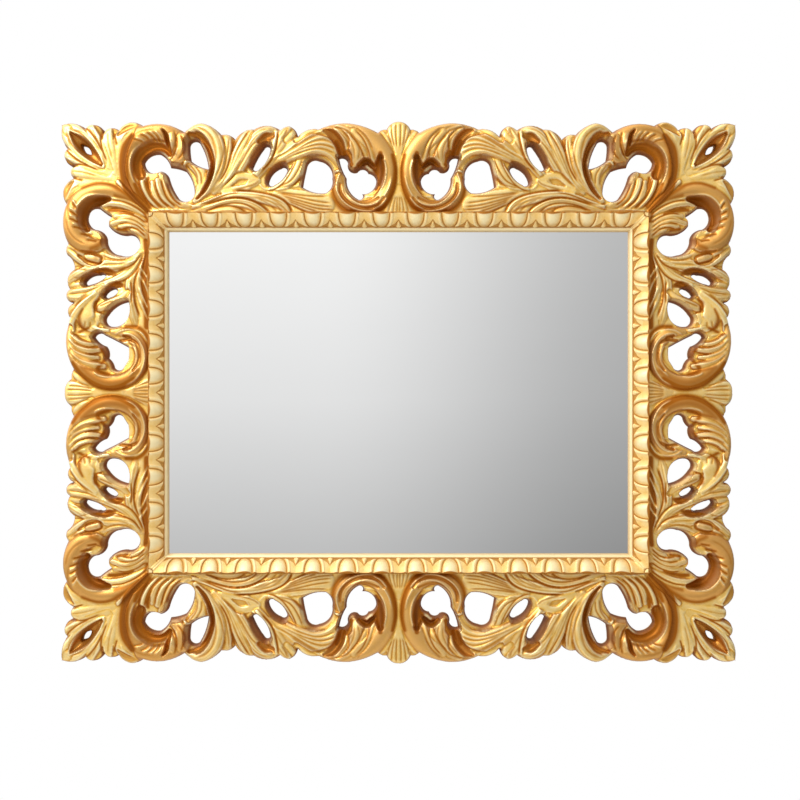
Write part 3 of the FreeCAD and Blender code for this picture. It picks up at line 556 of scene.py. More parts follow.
CORNER_LOBES = [
    [(408, 308, 5, 28), (414, 334, 9, 30), (412, 360, 12, 31), (405, 380, 13, 32), (396, 393, 9, 30)],
    [(420, 320, 5, 29), (426, 344, 8.5, 31), (430, 366, 8.5, 32), (431, 386, 6.5, 30)],
    [(428, 328, 5, 29), (439, 352, 8, 31), (449, 373, 8.5, 32), (458, 391, 6.5, 30)],
    [(436, 336, 4, 29), (450, 356, 6.5, 31), (466, 376, 7.5, 32), (482, 390, 8, 31), (497, 396, 5, 28)],
]
CORNER_CUTS = [
    [(421.5, 383), (420, 375), (417, 364)],
    [(440.4, 387), (441, 374), (439, 359), (432, 340)],
    [(466, 392), (456, 383), (446, 370), (439, 355)],
]
CORNER_VEINS = [
    [(431, 383), (429, 366), (424, 345)],
    [(453, 387), (448, 376), (443, 364)],
    [(460, 391), (452, 380), (446, 369)],
]
forms([(400, 297, 6, 27), (418, 315, 15, 30), (438, 335, 22, 31), (455, 352, 18, 31)], full=0.08)
for row in CORNER_LOBES:
    forms(row, across_mitre(row), full=0.13)
for row in CORNER_CUTS:
    cuts(row, across_mitre(row), depth=2.4, width=2.0)
for row in CORNER_VEINS:
    cuts(row, across_mitre(row), depth=1.2, width=1.5)
CORNER_PATCH = [(387, 393, 3, 28), (399, 392, 6, 26), (409, 387, 5.5, 26), (416, 380, 2.5, 28)]
hollows(CORNER_PATCH, across_mitre(CORNER_PATCH), warm=0.6, glaze=0.12)
CORNER_LIP = [(384, 393), (397, 388), (406, 381), (412, 371)]
rims(CORNER_LIP, across_mitre(CORNER_LIP), rise=1.6, width=2.6)
forms([(484, 381, 5, 29), (492, 389, 7.5, 30), (499, 396, 4, 26)])
forms(
    [(437, 334, 2, 31), (449, 346, 11.5, 31), (463, 360, 15.5, 32), (477, 374, 13.5, 32),
     (489, 386, 3, 31)],
    full=0.1,
)
hollows(
    [(440, 337, 2, 26), (450, 347, 7, 20), (463, 360, 10, 17.5), (475, 372, 8.5, 20), (486, 383, 2, 26)],
    warm=0.9, glaze=0.2,
)
ALMOND_LINE = [(440, 333), (446, 350), (457, 368), (472, 382), (488, 388)]
ALMOND_LIP = [(441, 337), (449, 353), (460, 368), (474, 379), (487, 385)]
cuts(ALMOND_LINE, across_mitre(ALMOND_LINE), depth=2.0, width=1.9)
rims(ALMOND_LIP, across_mitre(ALMOND_LIP), rise=2.0, width=2.4)

# Stile: corner scroll with its curled end and claws
hollows(
    [(430, 287, 4, 22), (442, 285, 7, 13), (455, 280, 9, 10), (465, 268, 9, 10), (468, 254, 7, 11),
     (463, 243, 5, 14)],
    warm=1.0, glaze=0.7,
)
forms(
    [(374, 269, 6, 26), (391, 285, 8, 29), (409, 295, 9, 32), (428, 300, 9, 34), (448, 300, 9.5, 35),
     (466, 293, 11, 36), (479, 279, 12.5, 37), (486, 261, 13, 37), (485, 242, 13.5, 37),
     (475, 226, 14, 36), (460, 218, 13, 35), (447, 218, 10, 33), (438, 224, 6, 29)],
    warm=0.9, full=0.6,
)
forms([(373, 268.5, 1.8, 30), (390, 285.5, 2, 33), (404, 299.5, 2.2, 34), (416, 312, 3, 33)])
shades(
    [(381, 272, 5), (400, 291, 6), (416, 302, 6), (430, 309, 5), (448, 310, 5), (468, 303, 5)],
    glaze=0.5,
)
shades(
    [(384, 272, 6), (402, 286, 6), (420, 292, 5)],
    [(446, 211, 5), (462, 207, 5), (480, 212, 5)],
    glaze=0.45,
)
rims([(416, 287), (431, 290.5), (446, 292.5), (459, 290.5), (468.5, 283.5), (474.5, 275), (477, 268)],
     rise=3.4, width=3.4)
cuts(
    [(492, 256), (488, 240), (478, 227), (464, 219)],
    [(494, 270), (490, 284), (480, 296)],
    [(484, 290), (489, 274), (487, 258)],
    depth=1.1, width=2.2,
)
lobes(
    ((482, 285), (475, 275)),
    ((486, 273), (476, 266)),
    ((486, 262), (474, 256)),
    ((481, 250), (466, 245.5)),
    ((471, 240), (455, 236)),
    ((461, 231), (447, 228)),
    bow=(0, 1),
    groove=[(0, -5), (0, -5), (0, -4)],
    cut={"depth": 2.4, "width": 2.4},
    lip={"rise": 2.6, "width": 3.2},
)
shades([(455, 213, 6), (444, 219, 6), (440, 228, 5)], glaze=0.45)
rims([(435, 218), (442, 211), (455, 208)], rise=1.6, width=2.2)
forms(
    [(372, 261, 4, 26), (388, 272, 6, 28), (408, 280, 6.5, 30), (426, 282, 6, 30), (439, 279.5, 4, 28)],
    [(374, 249, 4, 26), (389, 259, 5.5, 28), (406, 263, 5.5, 29), (420, 262, 4, 27)],
    [(374, 243, 4, 26), (389, 253, 4.5, 28), (407, 255.5, 4.5, 30), (425, 251, 4, 28)],
    [(373, 234, 4, 26), (385, 244, 4.5, 28), (400, 248, 4.8, 30), (414, 246, 3.5, 28)],
    [(372, 227, 4, 25), (381, 237, 4.5, 28), (395, 242, 3.8, 28)],
    warm=0.1, flutes=2,
)
shades(
    [(394, 265, 4), (412, 270, 5), (430, 271, 5)],
    [(404, 241, 4), (418, 243, 4)],
    [(378, 266, 6), (374, 255, 6)],
    glaze=0.6,
)
cuts(
    [(376, 259), (392, 268), (412, 273), (432, 273)],
    [(374, 251), (388, 260.5), (404, 265.5), (418, 265)],
    [(376, 245), (390, 255), (406, 258.5), (422, 256)],
    [(376, 238), (388, 248), (402, 251.5), (416, 250)],
    [(375, 231), (386, 241), (398, 245), (412, 243)],
    [(374, 263.5), (390, 275), (408, 283), (428, 286)],
    depth=2.4, width=2.0,
)
rims(
    [(374, 266), (389, 278), (407, 286), (430, 289.5)],
    [(376, 262), (391, 272), (410, 279), (430, 281)],
    [(374, 255.5), (388, 266), (404, 272), (420, 275)],
    [(377, 248), (391, 256.5), (407, 259.5), (424, 254)],
    [(376, 241), (388, 250), (402, 253)],
    rise=1.3, width=2.4,
)

# Stile: main leaf, spreading from its root beside the corner scroll
shades(
    [(376, 226, 6), (374, 205, 7), (376, 180, 7), (378, 160, 6), (376, 140, 7), (374, 115, 8),
     (374, 98, 8)],
    glaze=0.75,
)
forms(
    [(379, 208, 3, 26), (384, 188, 5, 28), (387, 166, 6, 28), (384, 146, 5, 27), (377, 128, 4, 25),
     (371, 112, 3, 23)],
    [(382, 206, 4, 26), (394, 182, 7, 28), (399, 160, 7, 29), (398, 138, 7, 29), (394, 116, 7, 27),
     (391, 102, 5, 25)],
    flutes=2,
)
forms([(372, 176, 2.4, 25), (376, 164, 2.8, 26), (373, 152, 2.4, 25)], warm=0.3)
forms([(371, 114, 2.4, 24), (381, 128, 3, 26), (387, 146, 2.6, 27)], warm=0.1)
forms(
    [(384, 202, 4, 26), (400, 180, 6, 28), (417, 168, 6.5, 29), (435, 160, 6.5, 30), (453, 151, 7, 30),
     (471, 142, 7.5, 30), (489, 142, 5, 27)],
    [(440, 159, 4, 29), (458, 145, 5, 30), (474, 133, 5, 29), (489, 122, 5, 26)],
    [(444, 158, 4, 29), (463, 154, 4.5, 30), (480, 151, 4.5, 29), (490, 149, 3.5, 27)],
    flutes=2,
)
forms(
    [(383, 205, 4, 26), (399, 191, 6, 29), (420, 186, 6.5, 30), (442, 184.5, 6.5, 31), (460, 183, 6, 31),
     (475, 176, 6.5, 31), (489, 168, 5.5, 27)],
    [(383, 207, 4, 26), (394, 198, 5, 29), (412, 194, 5.5, 30), (431, 193, 5, 30), (450, 190, 5, 31),
     (466, 193, 5, 31), (479, 202, 5.5, 31), (491, 212, 5, 27)],
    [(386, 204, 4, 27), (399, 199.5, 4, 28), (415, 199, 4, 29), (432, 202, 4, 28), (440, 207, 3, 27)],
    flutes=2,
)
forms([(466, 161, 3, 28), (478, 160, 4, 28), (488, 158, 3, 25)], warm=0.2)
forms([(439, 203, 5, 27.5), (447, 199, 10, 28), (458, 200, 10, 28), (470, 205, 6, 28)], warm=0.5, full=0.1)
forms([(445.5, 197, 4.6, 31), (453, 199, 5.2, 32), (460.5, 201, 4.6, 31)], warm=0.6, full=0.3)
cuts(
    [(440, 196), (444, 191.5), (453, 192.5), (462, 195), (466.5, 200)],
    [(440, 196), (441, 201.5), (451, 205.5), (461, 207), (466.5, 203)],
    depth=2.6, width=2.2,
)
forms([(464, 203.5, 2.2, 30), (476, 209, 2.8, 31), (490, 219, 2.6, 28)])
cuts(
    [(379, 205), (385, 190), (395, 175), (410, 166), (428, 163)],
    [(381, 207), (392, 192), (404, 185), (418, 180)],
    [(384, 186), (391, 168), (393, 150), (391, 132), (384, 112)],
    [(376, 203), (380, 186), (382, 166), (379, 148), (371, 128)],
    [(397, 165), (396, 150), (397, 132)],
    depth=2.6, width=2.2,
)
cuts(
    [(396, 195), (414, 190), (434, 189), (452, 186.5)],
    [(402, 187), (422, 182), (444, 180)],
    [(462, 178), (474, 171), (482, 170)],
    [(466, 187), (476, 187), (486, 187)],
    [(462, 181), (474, 183), (484, 182)],
    [(444, 157), (462, 149), (476, 147), (489, 146)],
    [(442, 160), (462, 156.5), (488, 153.5)],
    [(452, 150), (468, 138), (484, 127)],
    [(488, 216), (477, 206), (464, 197), (448, 193)],
    [(392, 203), (408, 197), (424, 197.5), (438, 203)],
    depth=1.8, width=1.8,
)
rims(
    [(381, 205), (390, 188), (403, 174), (420, 166.5), (436, 160), (452, 151.5), (468, 141)],
    [(385, 204), (396, 195), (412, 189.5), (432, 188), (452, 188)],
    [(400, 163), (399, 145), (397, 125), (394, 108)],
    rise=1.2, width=3.0,
)
rims(
    [(385, 188), (379, 180), (373, 170)],
    [(384, 174), (378, 163), (372, 149)],
    [(385, 156), (379, 141), (372, 124)],
    [(383, 136), (378, 122), (372, 108)],
    rise=2.2, width=3.4,
)

# Stile: raised lips of the two eyelets, painted pale as highlight, and hollows round them painted brown as
# shade
hollows(
    [(421, 176, 3, 25), (430, 179, 5, 20), (440, 180, 5, 18), (452, 178, 4.5, 19), (463, 171, 4, 23)],
    [(409, 158, 3, 25), (416, 160, 4.5, 20), (424, 158.5, 4.5, 19), (434, 152, 4, 22)],
    warm=0.9, glaze=0.45,
)
cuts([(420, 180), (432, 184), (450, 182)], [(408, 160), (418, 164), (432, 161)], depth=1.8)
rims([(424, 175), (440, 166), (456, 158.5)], [(408, 152), (420, 143), (434, 138)], rise=1.8, width=2.4)

# Stile: arched leaf and the strip between the eyelet and the piercing under it
forms(
    [(402, 150, 4, 26), (413, 139, 6, 29), (428, 132, 6.5, 30), (440, 127, 6, 29), (446, 122, 4, 28)],
    warm=0.2,
)
forms([(436, 107, 5, 27), (447, 111, 8, 28), (455, 103, 8, 28)], full=0.1)
forms(
    [(441, 155, 4, 28), (456, 140, 9, 30), (464, 123, 13, 31), (463, 108, 13, 31), (456, 99, 9, 28)],
    full=0.12,
)
forms(
    [(450, 148, 3.5, 30), (466, 134, 5, 32), (478, 119, 5.5, 33), (485, 104, 5, 32), (484, 93, 3.5, 29)],
    full=0.3,
)
forms([(431, 92.5, 2.8, 28), (444, 94, 3, 29), (455, 98, 2.4, 28)])
shades(
    [(448, 124, 5), (450, 133, 5), (444, 139, 3)],
    [(460, 96, 4), (470, 92, 5), (480, 86, 5)],
    glaze=0.55,
)
cuts([(440, 119), (448, 120.5), (451.5, 128), (446, 138)], depth=2.6, width=2.6)
shades([(468, 124, 3), (473, 112, 5), (472, 101, 7), (464, 93, 5)], glaze=0.5)
cuts([(457, 105), (458, 96)], [(464, 106), (466, 96)], [(471, 104), (474, 95)], depth=1.6)
cuts([(444, 128), (436, 131), (424, 136)], [(484, 118), (475, 133), (460, 147)], depth=1.8)
rims(
    [(489, 100), (486, 112), (478, 124), (466, 136), (452, 147)],
    [(484, 92), (476, 87), (464, 84.5)],
    rise=1.6,
)

# Stile: large scroll, its claws and the ridges round its inner loop
forms(
    [(487, 98, 3.5, 27), (489, 85, 7.5, 32), (486, 66, 11.5, 35), (477, 47, 14, 36), (463, 31, 14, 36),
     (446, 19.5, 12.5, 36), (428, 14.5, 10.5, 36), (410, 17, 10.5, 35), (395, 25, 10.5, 34),
     (384, 39, 10.5, 33), (381, 55, 10, 32), (385, 71, 10, 31), (396, 84, 10, 30), (410, 90, 7.5, 29),
     (424, 90, 5, 27)],
    warm=0.75, full=0.55,
)
shades([(372, 36, 6), (371, 60, 4), (374, 84, 7), (388, 97, 7), (405, 98, 6)], glaze=0.55)
shades([(430, 27, 5), (446, 33, 6), (436, 52, 5), (444, 70, 5)], glaze=0.6)
shades([(392, 20, 9), (412, 9, 10), (432, 7, 9), (452, 14, 9), (470, 28, 8), (482, 44, 6)], glaze=0.6)
shades([(386, 32, 8), (406, 19, 11), (430, 15, 12), (452, 23, 11), (468, 37, 8)], glaze=0.4)
hollows(
    [(402, 80, 2.6, 25), (390, 74, 3, 26), (384, 60, 3, 27), (385, 45, 3, 28), (393, 33, 2.4, 30)],
    [(408, 84, 2.4, 23), (398, 80, 2.6, 23), (414, 77, 2.6, 22)],
    warm=1.0, glaze=0.4,
)
rims(
    [(412, 30), (422, 25), (433, 23.5), (444, 26), (450, 30)],
    [(404, 11), (391, 18), (381, 31), (376, 48), (377.5, 64), (386, 79), (399, 87), (413, 85)],
    [(373, 76), (382, 88.5), (396, 94), (411, 92), (422, 85)],
    [(399, 24), (388, 37), (382.5, 54), (386, 68), (395, 76)],
    [(405, 33), (395, 44), (390, 56), (393, 66), (399, 69)],
    rise=3.4, width=2.6,
)
forms(
    [(482, 84, 3, 33), (473, 76, 3.5, 33), (460, 71.5, 3.5, 31), (450, 72, 2.4, 28)],
    [(486, 78, 3, 34), (474, 67, 4, 34), (458, 62, 4, 33), (442, 63.5, 3.2, 29)],
    [(487, 72, 3, 34), (476, 59, 4, 34), (460, 52.5, 4, 33), (446, 52, 2.8, 29)],
    [(484, 60, 3.5, 35), (470, 48, 5, 35), (453, 41.5, 5.5, 34), (437, 39, 4, 30)],
    warm=0.35,
)
shades([(480, 74, 4), (464, 66.5, 4), (446, 67.5, 4)], [(482, 65, 4), (467, 57, 4), (448, 57.5, 5)],
       [(480, 55, 5), (464, 46.5, 4), (446, 46, 5)], [(464, 36, 5), (446, 32, 6)], glaze=0.45)
rims(
    [(487, 88), (478, 79), (464, 73.5), (450, 73.5)],
    [(488, 80), (478, 70), (462, 64.5), (443, 65.5)],
    [(488, 70), (476, 60), (460, 54.5), (447, 54)],
    [(484, 58), (470, 48), (454, 43), (438, 41)],
    rise=1.8, width=2.6,
)

# Stile: palmette in the middle
forms([(402, 0, 5, 28), (424, 0, 4.5, 29), (446, 0, 8, 30), (470, 0, 17, 31), (486, 0, 17, 30)], full=0.1)
forms([(404, 0, 4.5, 28), (388, 0, 12, 28), (370, 0, 22, 26)], warm=0.3, full=0.06)
forms([(454, 8, 3, 29), (466, 16, 5, 30), (476, 24, 5.5, 29), (481, 30, 4, 27)])
cuts(
    [(492, 4), (474, 4), (454, 2.5)],
    [(490, 10), (474, 9), (454, 6)],
    [(484, 18), (472, 14), (458, 10)],
    depth=1.8, width=1.8,
)
cuts(
    [(371, 2.5), (383, 2.5), (394, 1.5)],
    [(371, 8), (383, 6.5), (394, 4)],
    [(371, 15), (382, 12), (392, 8)],
    depth=1.7, width=1.7,
)

# Levelled and softened relief, with a painted highlight on its crests and painted shade in its valleys and
# on its steep slopes
LEVEL_REACH = 5.0
LEVEL_KEEP = 0.9
LEVEL_DROP = 2.0
HEIGHT_SOFTNESS = 0.6
CREST_REACH = 2.2
CREST_RANGE = 4.2
WARMTH_SOFTNESS = 0.8
GLAZE_AND_SHADE_SOFTNESS = 0.5
SLOPE_SHADE = 0.4
SLOPE_START = 0.4
SLOPE_RANGE = 1.2


def blurred(values, reach):
    """Values of the map averaged softly over a reach in millimetres."""
    half = int(2 * reach / MAP_STEP)
    weights = np.exp(-0.5 * (np.arange(-half, half + 1) * MAP_STEP / reach) ** 2)
    weights /= weights.sum()
    for axis in (0, 1):
        padding = [(half, half) if side == axis else (0, 0) for side in (0, 1)]
        padded = np.pad(values, padding, mode="edge")
        length = values.shape[axis]
        values = sum(
            weight * padded.take(range(start, start + length), axis) for start, weight in enumerate(weights)
        )
    return values


level = blurred(carving.height, LEVEL_REACH)
carving.height = np.maximum(level + LEVEL_KEEP * (carving.height - level), level - LEVEL_DROP)
for work, places, options in later:
    work(*places, **options)
carving.height = blurred(carving.height, HEIGHT_SOFTNESS)
# Painted highlight and shade: places higher than their surroundings take a paler gold, lower ones a deeper
# gold
crest_highlight_and_shade = np.clip(0.5 + (carving.height - blurred(carving.height, CREST_REACH)) / CREST_RANGE, 0, 1)
carving.warmth = blurred(carving.warmth, WARMTH_SOFTNESS)
carving.glaze = blurred(carving.glaze, GLAZE_AND_SHADE_SOFTNESS)
# Painted shade on the steep slopes
steepness = np.hypot(*np.gradient(carving.height, MAP_STEP))
carving.glaze = np.maximum(
    carving.glaze, SLOPE_SHADE * np.clip((steepness - SLOPE_START) / SLOPE_RANGE, 0, 1)
)

# Meshes of the four members, from the outlines that they were built with
MESH_STEP = 1.1
GRID_INSET = 0.5
SIGHT_CLEARANCE = 0.6  # from the sight edge to the first points of the grid
FLANGE_STEP = 0.3  # run of the step from the flange up to the carving
FLANGE_EDGE = -0.1
FLANGE_TOP = 12.0
TALLEST = 39.5
RAIL_STRETCH = 1.02
SIGHT_MARGIN = 1.0  # the outer edge is what lies past the sight edge and off the mitres
MITRE_MARGIN = 0.3
SCREW_LOOP = 15.0  # length of the outlines that are only screw holes, at most
PIERCING_LOOP = 30.0  # length of a piercing's outline, at least
ROLL_WIDTH = 7.0  # how far in from the outer edge the carving is rolled over
ROLL_FOOT = 14.0
HOLE_FOOT = 5.0
HOLE_SLOPE = 4.5
LOW_SHADE_TOP = 19.0  # height under which the carving is painted darker, as shade low down and in the piercings
LOW_SHADE_RANGE = 12.0
# painted shade along the outer edges of the carving
OUTLINE_SHADE = 0.85
OUTLINE_SHADE_WIDTH = 3.0
# painted shadow of the moulding on the border beside it
SIGHT_SHADOW = 0.8
SIGHT_SHADOW_WIDTH = 2.4
BORDER_CREASE = 60
BARE = (0.5, 0.0, 0.0, 1.0)  # finish of wood without gold


def back_loops(node):
    """The closed outlines of a node's flat back, as rows of (across, up) in millimetres."""
    shape = bmesh.new()
    shape.from_mesh(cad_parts[node].data)
    bmesh.ops.remove_doubles(shape, verts=shape.verts, dist=1e-5)
    flat = [face for face in shape.faces if all(abs(v.co.y + BACK / 1000) < 1e-5 for v in face.verts)]
    flat = dict.fromkeys(flat)  # keeps the order of the faces, so that every run gives the same loops
    following = {}
    for face in flat:
        for corner in face.loops:
            if sum(other in flat for other in corner.edge.link_faces) == 1:
                following[corner.vert.index] = corner.link_loop_next.vert.index
    shape.verts.ensure_lookup_table()
    loops = []
    while following:
        start, vertex = following.popitem()
        loop = [start]
        while vertex != start:
            loop.append(vertex)
            vertex = following.pop(vertex)
        loops.append(np.array([(shape.verts[i].co.x, shape.verts[i].co.z) for i in loop]) * 1000)
    shape.free()
    return loops


def finely(loop, step):
    """The same closed outline with points at most a step apart."""
    points = []
    for start, end in zip(loop, np.roll(loop, -1, axis=0)):
        count = max(1, math.ceil(math.dist(start, end) / step))
        points += [start + (end - start) * share / count for share in range(count)]
    return np.array(points)


def length_of(loop):
    return sum(math.dist(start, end) for start, end in zip(loop, np.roll(loop, -1, axis=0)))


def inside_rows(loops, columns, rows):
    """Which points of a grid lie inside the outlines, counting crossings along each row."""
    inside = np.zeros((len(columns), len(rows)), bool)
    starts = np.vstack(loops)
    ends = np.vstack([np.roll(loop, -1, axis=0) for loop in loops])
    for rank, level in enumerate(rows):
        crossing = (starts[:, 1] > level) != (ends[:, 1] > level)
        share = (level - starts[crossing, 1]) / (ends[crossing, 1] - starts[crossing, 1])
        places = np.sort(starts[crossing, 0] + share * (ends[crossing, 0] - starts[crossing, 0]))
        inside[:, rank] = np.searchsorted(places, columns) % 2 == 1
    return inside


def tree_of(points):
    tree = KDTree(len(points))
    for index, point in enumerate(points):
        tree.insert((point[0], point[1], 0), index)
    tree.balance()
    return tree


def distances(tree, points):
    return np.array([tree.find((x, z, 0))[2] for x, z in points])


def triangles(points, loops):
    """Triangles over points that start with those of the loops, the first loop round the others."""
    edges, first = [], 0
    for loop in loops:
        edge = list(range(first, first + len(loop)))
        edges.append(edge if not edges else edge[::-1])
        first += len(loop)
    found = delaunay_2d_cdt([Vector(point) for point in points], [], edges, 1, 1e-6)
    return [face for face, sources in zip(found[2], found[5]) if len(sources) == 1]


def piece_with_finish_and_shading(mesh, colours):
    """A new piece of a mesh, with the finish and painted shading of each of its points. These are: how high
    it stands on the carving, which gives a paler gold as painted highlight and a deeper one as painted
    shade; its brown glaze and painted shade; how warm its gold is; and whether it is bare wood."""
    finish_and_shading = mesh.attributes.new("finish_and_shading", "FLOAT_COLOR", "POINT")
    finish_and_shading.data.foreach_set("color", colours.ravel())
    piece = bpy.data.objects.new(mesh.name, mesh)
    bpy.context.scene.collection.objects.link(piece)
    return piece


def carved_member(name, node):
    """A border member as one closed mesh: its carved front, the walls of its outlines and its flat back."""
    outlines = [loop for loop in back_loops(node) if length_of(loop) > SCREW_LOOP]
    outlines.sort(key=length_of, reverse=True)
    loops = [finely(loop, MESH_STEP) for loop in outlines]
    for index, loop in enumerate(loops):
        area = np.sum(loop[:, 0] * np.roll(loop[:, 1], -1) - np.roll(loop[:, 0], -1) * loop[:, 1])
        if (area > 0) != (index == 0):
            loops[index] = loop[::-1]
    rim = np.vstack(loops)
    low, high = rim.min(0), rim.max(0)
    lying = high[0] - low[0] > high[1] - low[1]
    outward = 1 if lying else 0
    reach, sight = SIGHT_CORNER if lying else SIGHT_CORNER[::-1]
    columns = np.arange(low[0] + GRID_INSET, high[0], MESH_STEP)
    rows = np.arange(low[1] + GRID_INSET, high[1], MESH_STEP)
    inside = inside_rows(loops, columns, rows)
    grid = np.array([(columns[i], rows[j]) for i, j in zip(*np.nonzero(inside))])
    grid = grid[np.abs(grid[:, outward]) - sight > SIGHT_CLEARANCE]
    grid = grid[distances(tree_of(rim), grid) > MESH_STEP / 2]
    edge_run = np.arange(-reach, reach, MESH_STEP)[1:]
    side = np.sign(rim[:, outward].mean())
    for out in (-FLANGE_STEP, 0.0):
        edge = np.full_like(edge_run, side * (sight + out))
        grid = np.vstack([grid, np.column_stack([edge_run, edge] if lying else [edge, edge_run])])
    points = np.vstack([rim, grid])
    front_faces = triangles(points, loops)
    back_faces = triangles(rim, loops)

    across, up = np.abs(points).T
    out = (up if lying else across) - sight
    if lying:
        up = np.where(up > sight, sight + (up - sight) / RAIL_STRETCH, up)
    height = carving.sample(carving.height, across, up)
    outer = np.abs(loops[0])
    past_sight = outer[:, outward] > sight + SIGHT_MARGIN
    off_mitre = np.abs(outer[:, 0] - outer[:, 1] - MITRE_GAP) > MITRE_MARGIN
    to_outline = distances(tree_of(loops[0][past_sight & off_mitre]), points)
    roll = np.sqrt(np.clip(1 - (1 - to_outline / ROLL_WIDTH) ** 2, 0, 1))
    height = np.where(to_outline < ROLL_WIDTH, ROLL_FOOT + (height - ROLL_FOOT) * roll, height)
    holes = np.vstack([loop for loop in loops[1:] if length_of(loop) > PIERCING_LOOP])
    height = np.minimum(height, HOLE_FOOT + HOLE_SLOPE * distances(tree_of(holes), points))
    height = np.where(out < FLANGE_EDGE, FLANGE_TOP, np.minimum(height, TALLEST))
    # Painted shade: darker low down and down the walls of the piercings, and along the outer edges; beside
    # the sight edge a painted shadow of the moulding
    low_glaze = np.clip((LOW_SHADE_TOP - height) / LOW_SHADE_RANGE, 0, 1)
    edge_glaze = OUTLINE_SHADE * np.clip(1 - to_outline / OUTLINE_SHADE_WIDTH, 0, 1)
    sight_glaze = SIGHT_SHADOW * np.clip(1 - out / SIGHT_SHADOW_WIDTH, 0, 1)
    sight_glaze = np.where(out > FLANGE_EDGE, sight_glaze, 0)
    carved_glaze = carving.sample(carving.glaze, across, up)

    count = len(rim)
    front = np.column_stack([points[:, 0], -BACK - height, points[:, 1]]) / 1000
    back = np.column_stack([rim[:, 0], np.full(count, -BACK), rim[:, 1]]) / 1000
    shift = len(points)
    faces = [tuple(face) for face in front_faces]
    faces += [tuple(shift + corner for corner in reversed(face)) for face in back_faces]
    first = 0
    for loop in loops:
        for index in range(len(loop)):
            here, there = first + index, first + (index + 1) % len(loop)
            faces.append((there, here, shift + here, shift + there))
        first += len(loop)
    mesh = bpy.data.meshes.new(name)
    mesh.from_pydata(np.vstack([front, back]).tolist(), [], faces)
    colours = np.empty((len(front) + count, 4), np.float32)
    colours[:] = BARE
    colours[:shift, 0] = carving.sample(crest_highlight_and_shade, across, up)
    colours[:shift, 1] = np.max([low_glaze, carved_glaze, edge_glaze, sight_glaze], axis=0)
    colours[:shift, 2] = carving.sample(carving.warmth, across, up)
    colours[:shift, 3] = 0
    return piece_with_finish_and_shading(mesh, colours)


def smooth_within(piece, degrees):
    """Shades a piece smooth, with sharp edges where its faces turn by more than an angle."""
    bpy.ops.object.select_all(action="DESELECT")
    piece.select_set(True)
    bpy.context.view_layer.objects.active = piece
    bpy.ops.object.shade_smooth_by_angle(angle=math.radians(degrees))


class Signal:
    """A value in a node tree, built up with plain arithmetic."""

    def __init__(self, tree, socket):
        self.tree = tree
        self.socket = socket

    def node(self, kind, inputs, output=0, **settings):
        """The output of any other node, fed with signals and plain values."""
        made = self.tree.nodes.new("ShaderNode" + kind)
        for name, value in settings.items():
            setattr(made, name, value)
        for name, value in inputs.items():
            if isinstance(value, Signal):
                self.tree.links.new(value.socket, made.inputs[name])
            else:
                made.inputs[name].default_value = value
        return Signal(self.tree, made.outputs[output])

    def maths(self, operation, first, second=0.0):
        return self.node("Math", {0: first, 1: second}, operation=operation)

    def __add__(self, other):
        return self.maths("ADD", self, other)

    def __sub__(self, other):
        return self.maths("SUBTRACT", self, other)

    def __rsub__(self, other):
        return self.maths("SUBTRACT", other, self)

    def __mul__(self, other):
        return self.maths("MULTIPLY", self, other)

    __radd__ = __add__
    __rmul__ = __mul__


def tint(red, green, blue):
    """A colour written as it shows on a screen."""
    return (*[((part / 255 + 0.055) / 1.055) ** 2.4 for part in (red, green, blue)], 1.0)


def blend(share, first, second):
    return share.node("Mix", {0: share, 6: first, 7: second}, output=2, data_type="RGBA")


def new_material(name):
    """A material, its shader and the place on the piece that its detail is worked out from."""
    material = bpy.data.materials.new(name)
    material.use_nodes = True
    tree = material.node_tree
    place = Signal(tree, tree.nodes.new("ShaderNodeTexCoord").outputs["Object"])
    return material, tree.nodes["Principled BSDF"], place


def feed(shader, **signals):
    for name, signal in signals.items():
        signal.tree.links.new(signal.socket, shader.inputs[name.replace("_", " ")])


def speckle(place, size, detail=4.0, roughness=0.6):
    inputs = {"Vector": place, "Scale": size, "Detail": detail, "Roughness": roughness}
    return place.node("TexNoise", inputs)


def stretched(place, *scale):
    return place.node("Mapping", {"Vector": place, "Scale": scale})


def between(signal, start, end, low=0.0, high=1.0, shape="LINEAR"):
    """Runs from low to high while a signal goes from start to end."""
    inputs = {0: signal, 1: start, 2: end, 3: low, 4: high}
    return signal.node("MapRange", inputs, interpolation_type=shape)


GRAIN_ALONG = 4.0
GRAIN_ACROSS = 90.0
GRAIN_DETAIL = 6.0
GRAIN_RANGE = (0.35, 0.65)


def limewood(place):
    """The colour of pale wood, with its grain along whichever side of the frame a place is on, and the
    grain itself."""
    across = place.node("SeparateXYZ", {0: place}, output=0)
    up = place.node("SeparateXYZ", {0: place}, output=2)
    past_mitre = place.maths("ABSOLUTE", across) - place.maths("ABSOLUTE", up)
    on_stile = place.maths("GREATER_THAN", past_mitre, MITRE_GAP / 1000)
    along_rail = stretched(place, GRAIN_ALONG, GRAIN_ACROSS, GRAIN_ACROSS)
    along_stile = stretched(place, GRAIN_ACROSS, GRAIN_ACROSS, GRAIN_ALONG)
    rail_grain = speckle(along_rail, 1.0, GRAIN_DETAIL)
    stile_grain = speckle(along_stile, 1.0, GRAIN_DETAIL)
    grain = rail_grain + (stile_grain - rail_grain) * on_stile
    return blend(between(grain, *GRAIN_RANGE), tint(168, 128, 82), tint(206, 172, 124)), grain


DEEP_TO_GOLD = (0.07, 0.46)  # tones of the crest between which the gold goes from the painted valley shade to gold, and from gold to the painted crest highlight
GOLD_TO_PALE = (0.43, 0.67)
MOTTLE_SIZE = 90.0
MOTTLE_TONE = 0.25
SPECK_SIZE = 700.0
SPECK_TONE = 0.1
SHEEN = 0.12


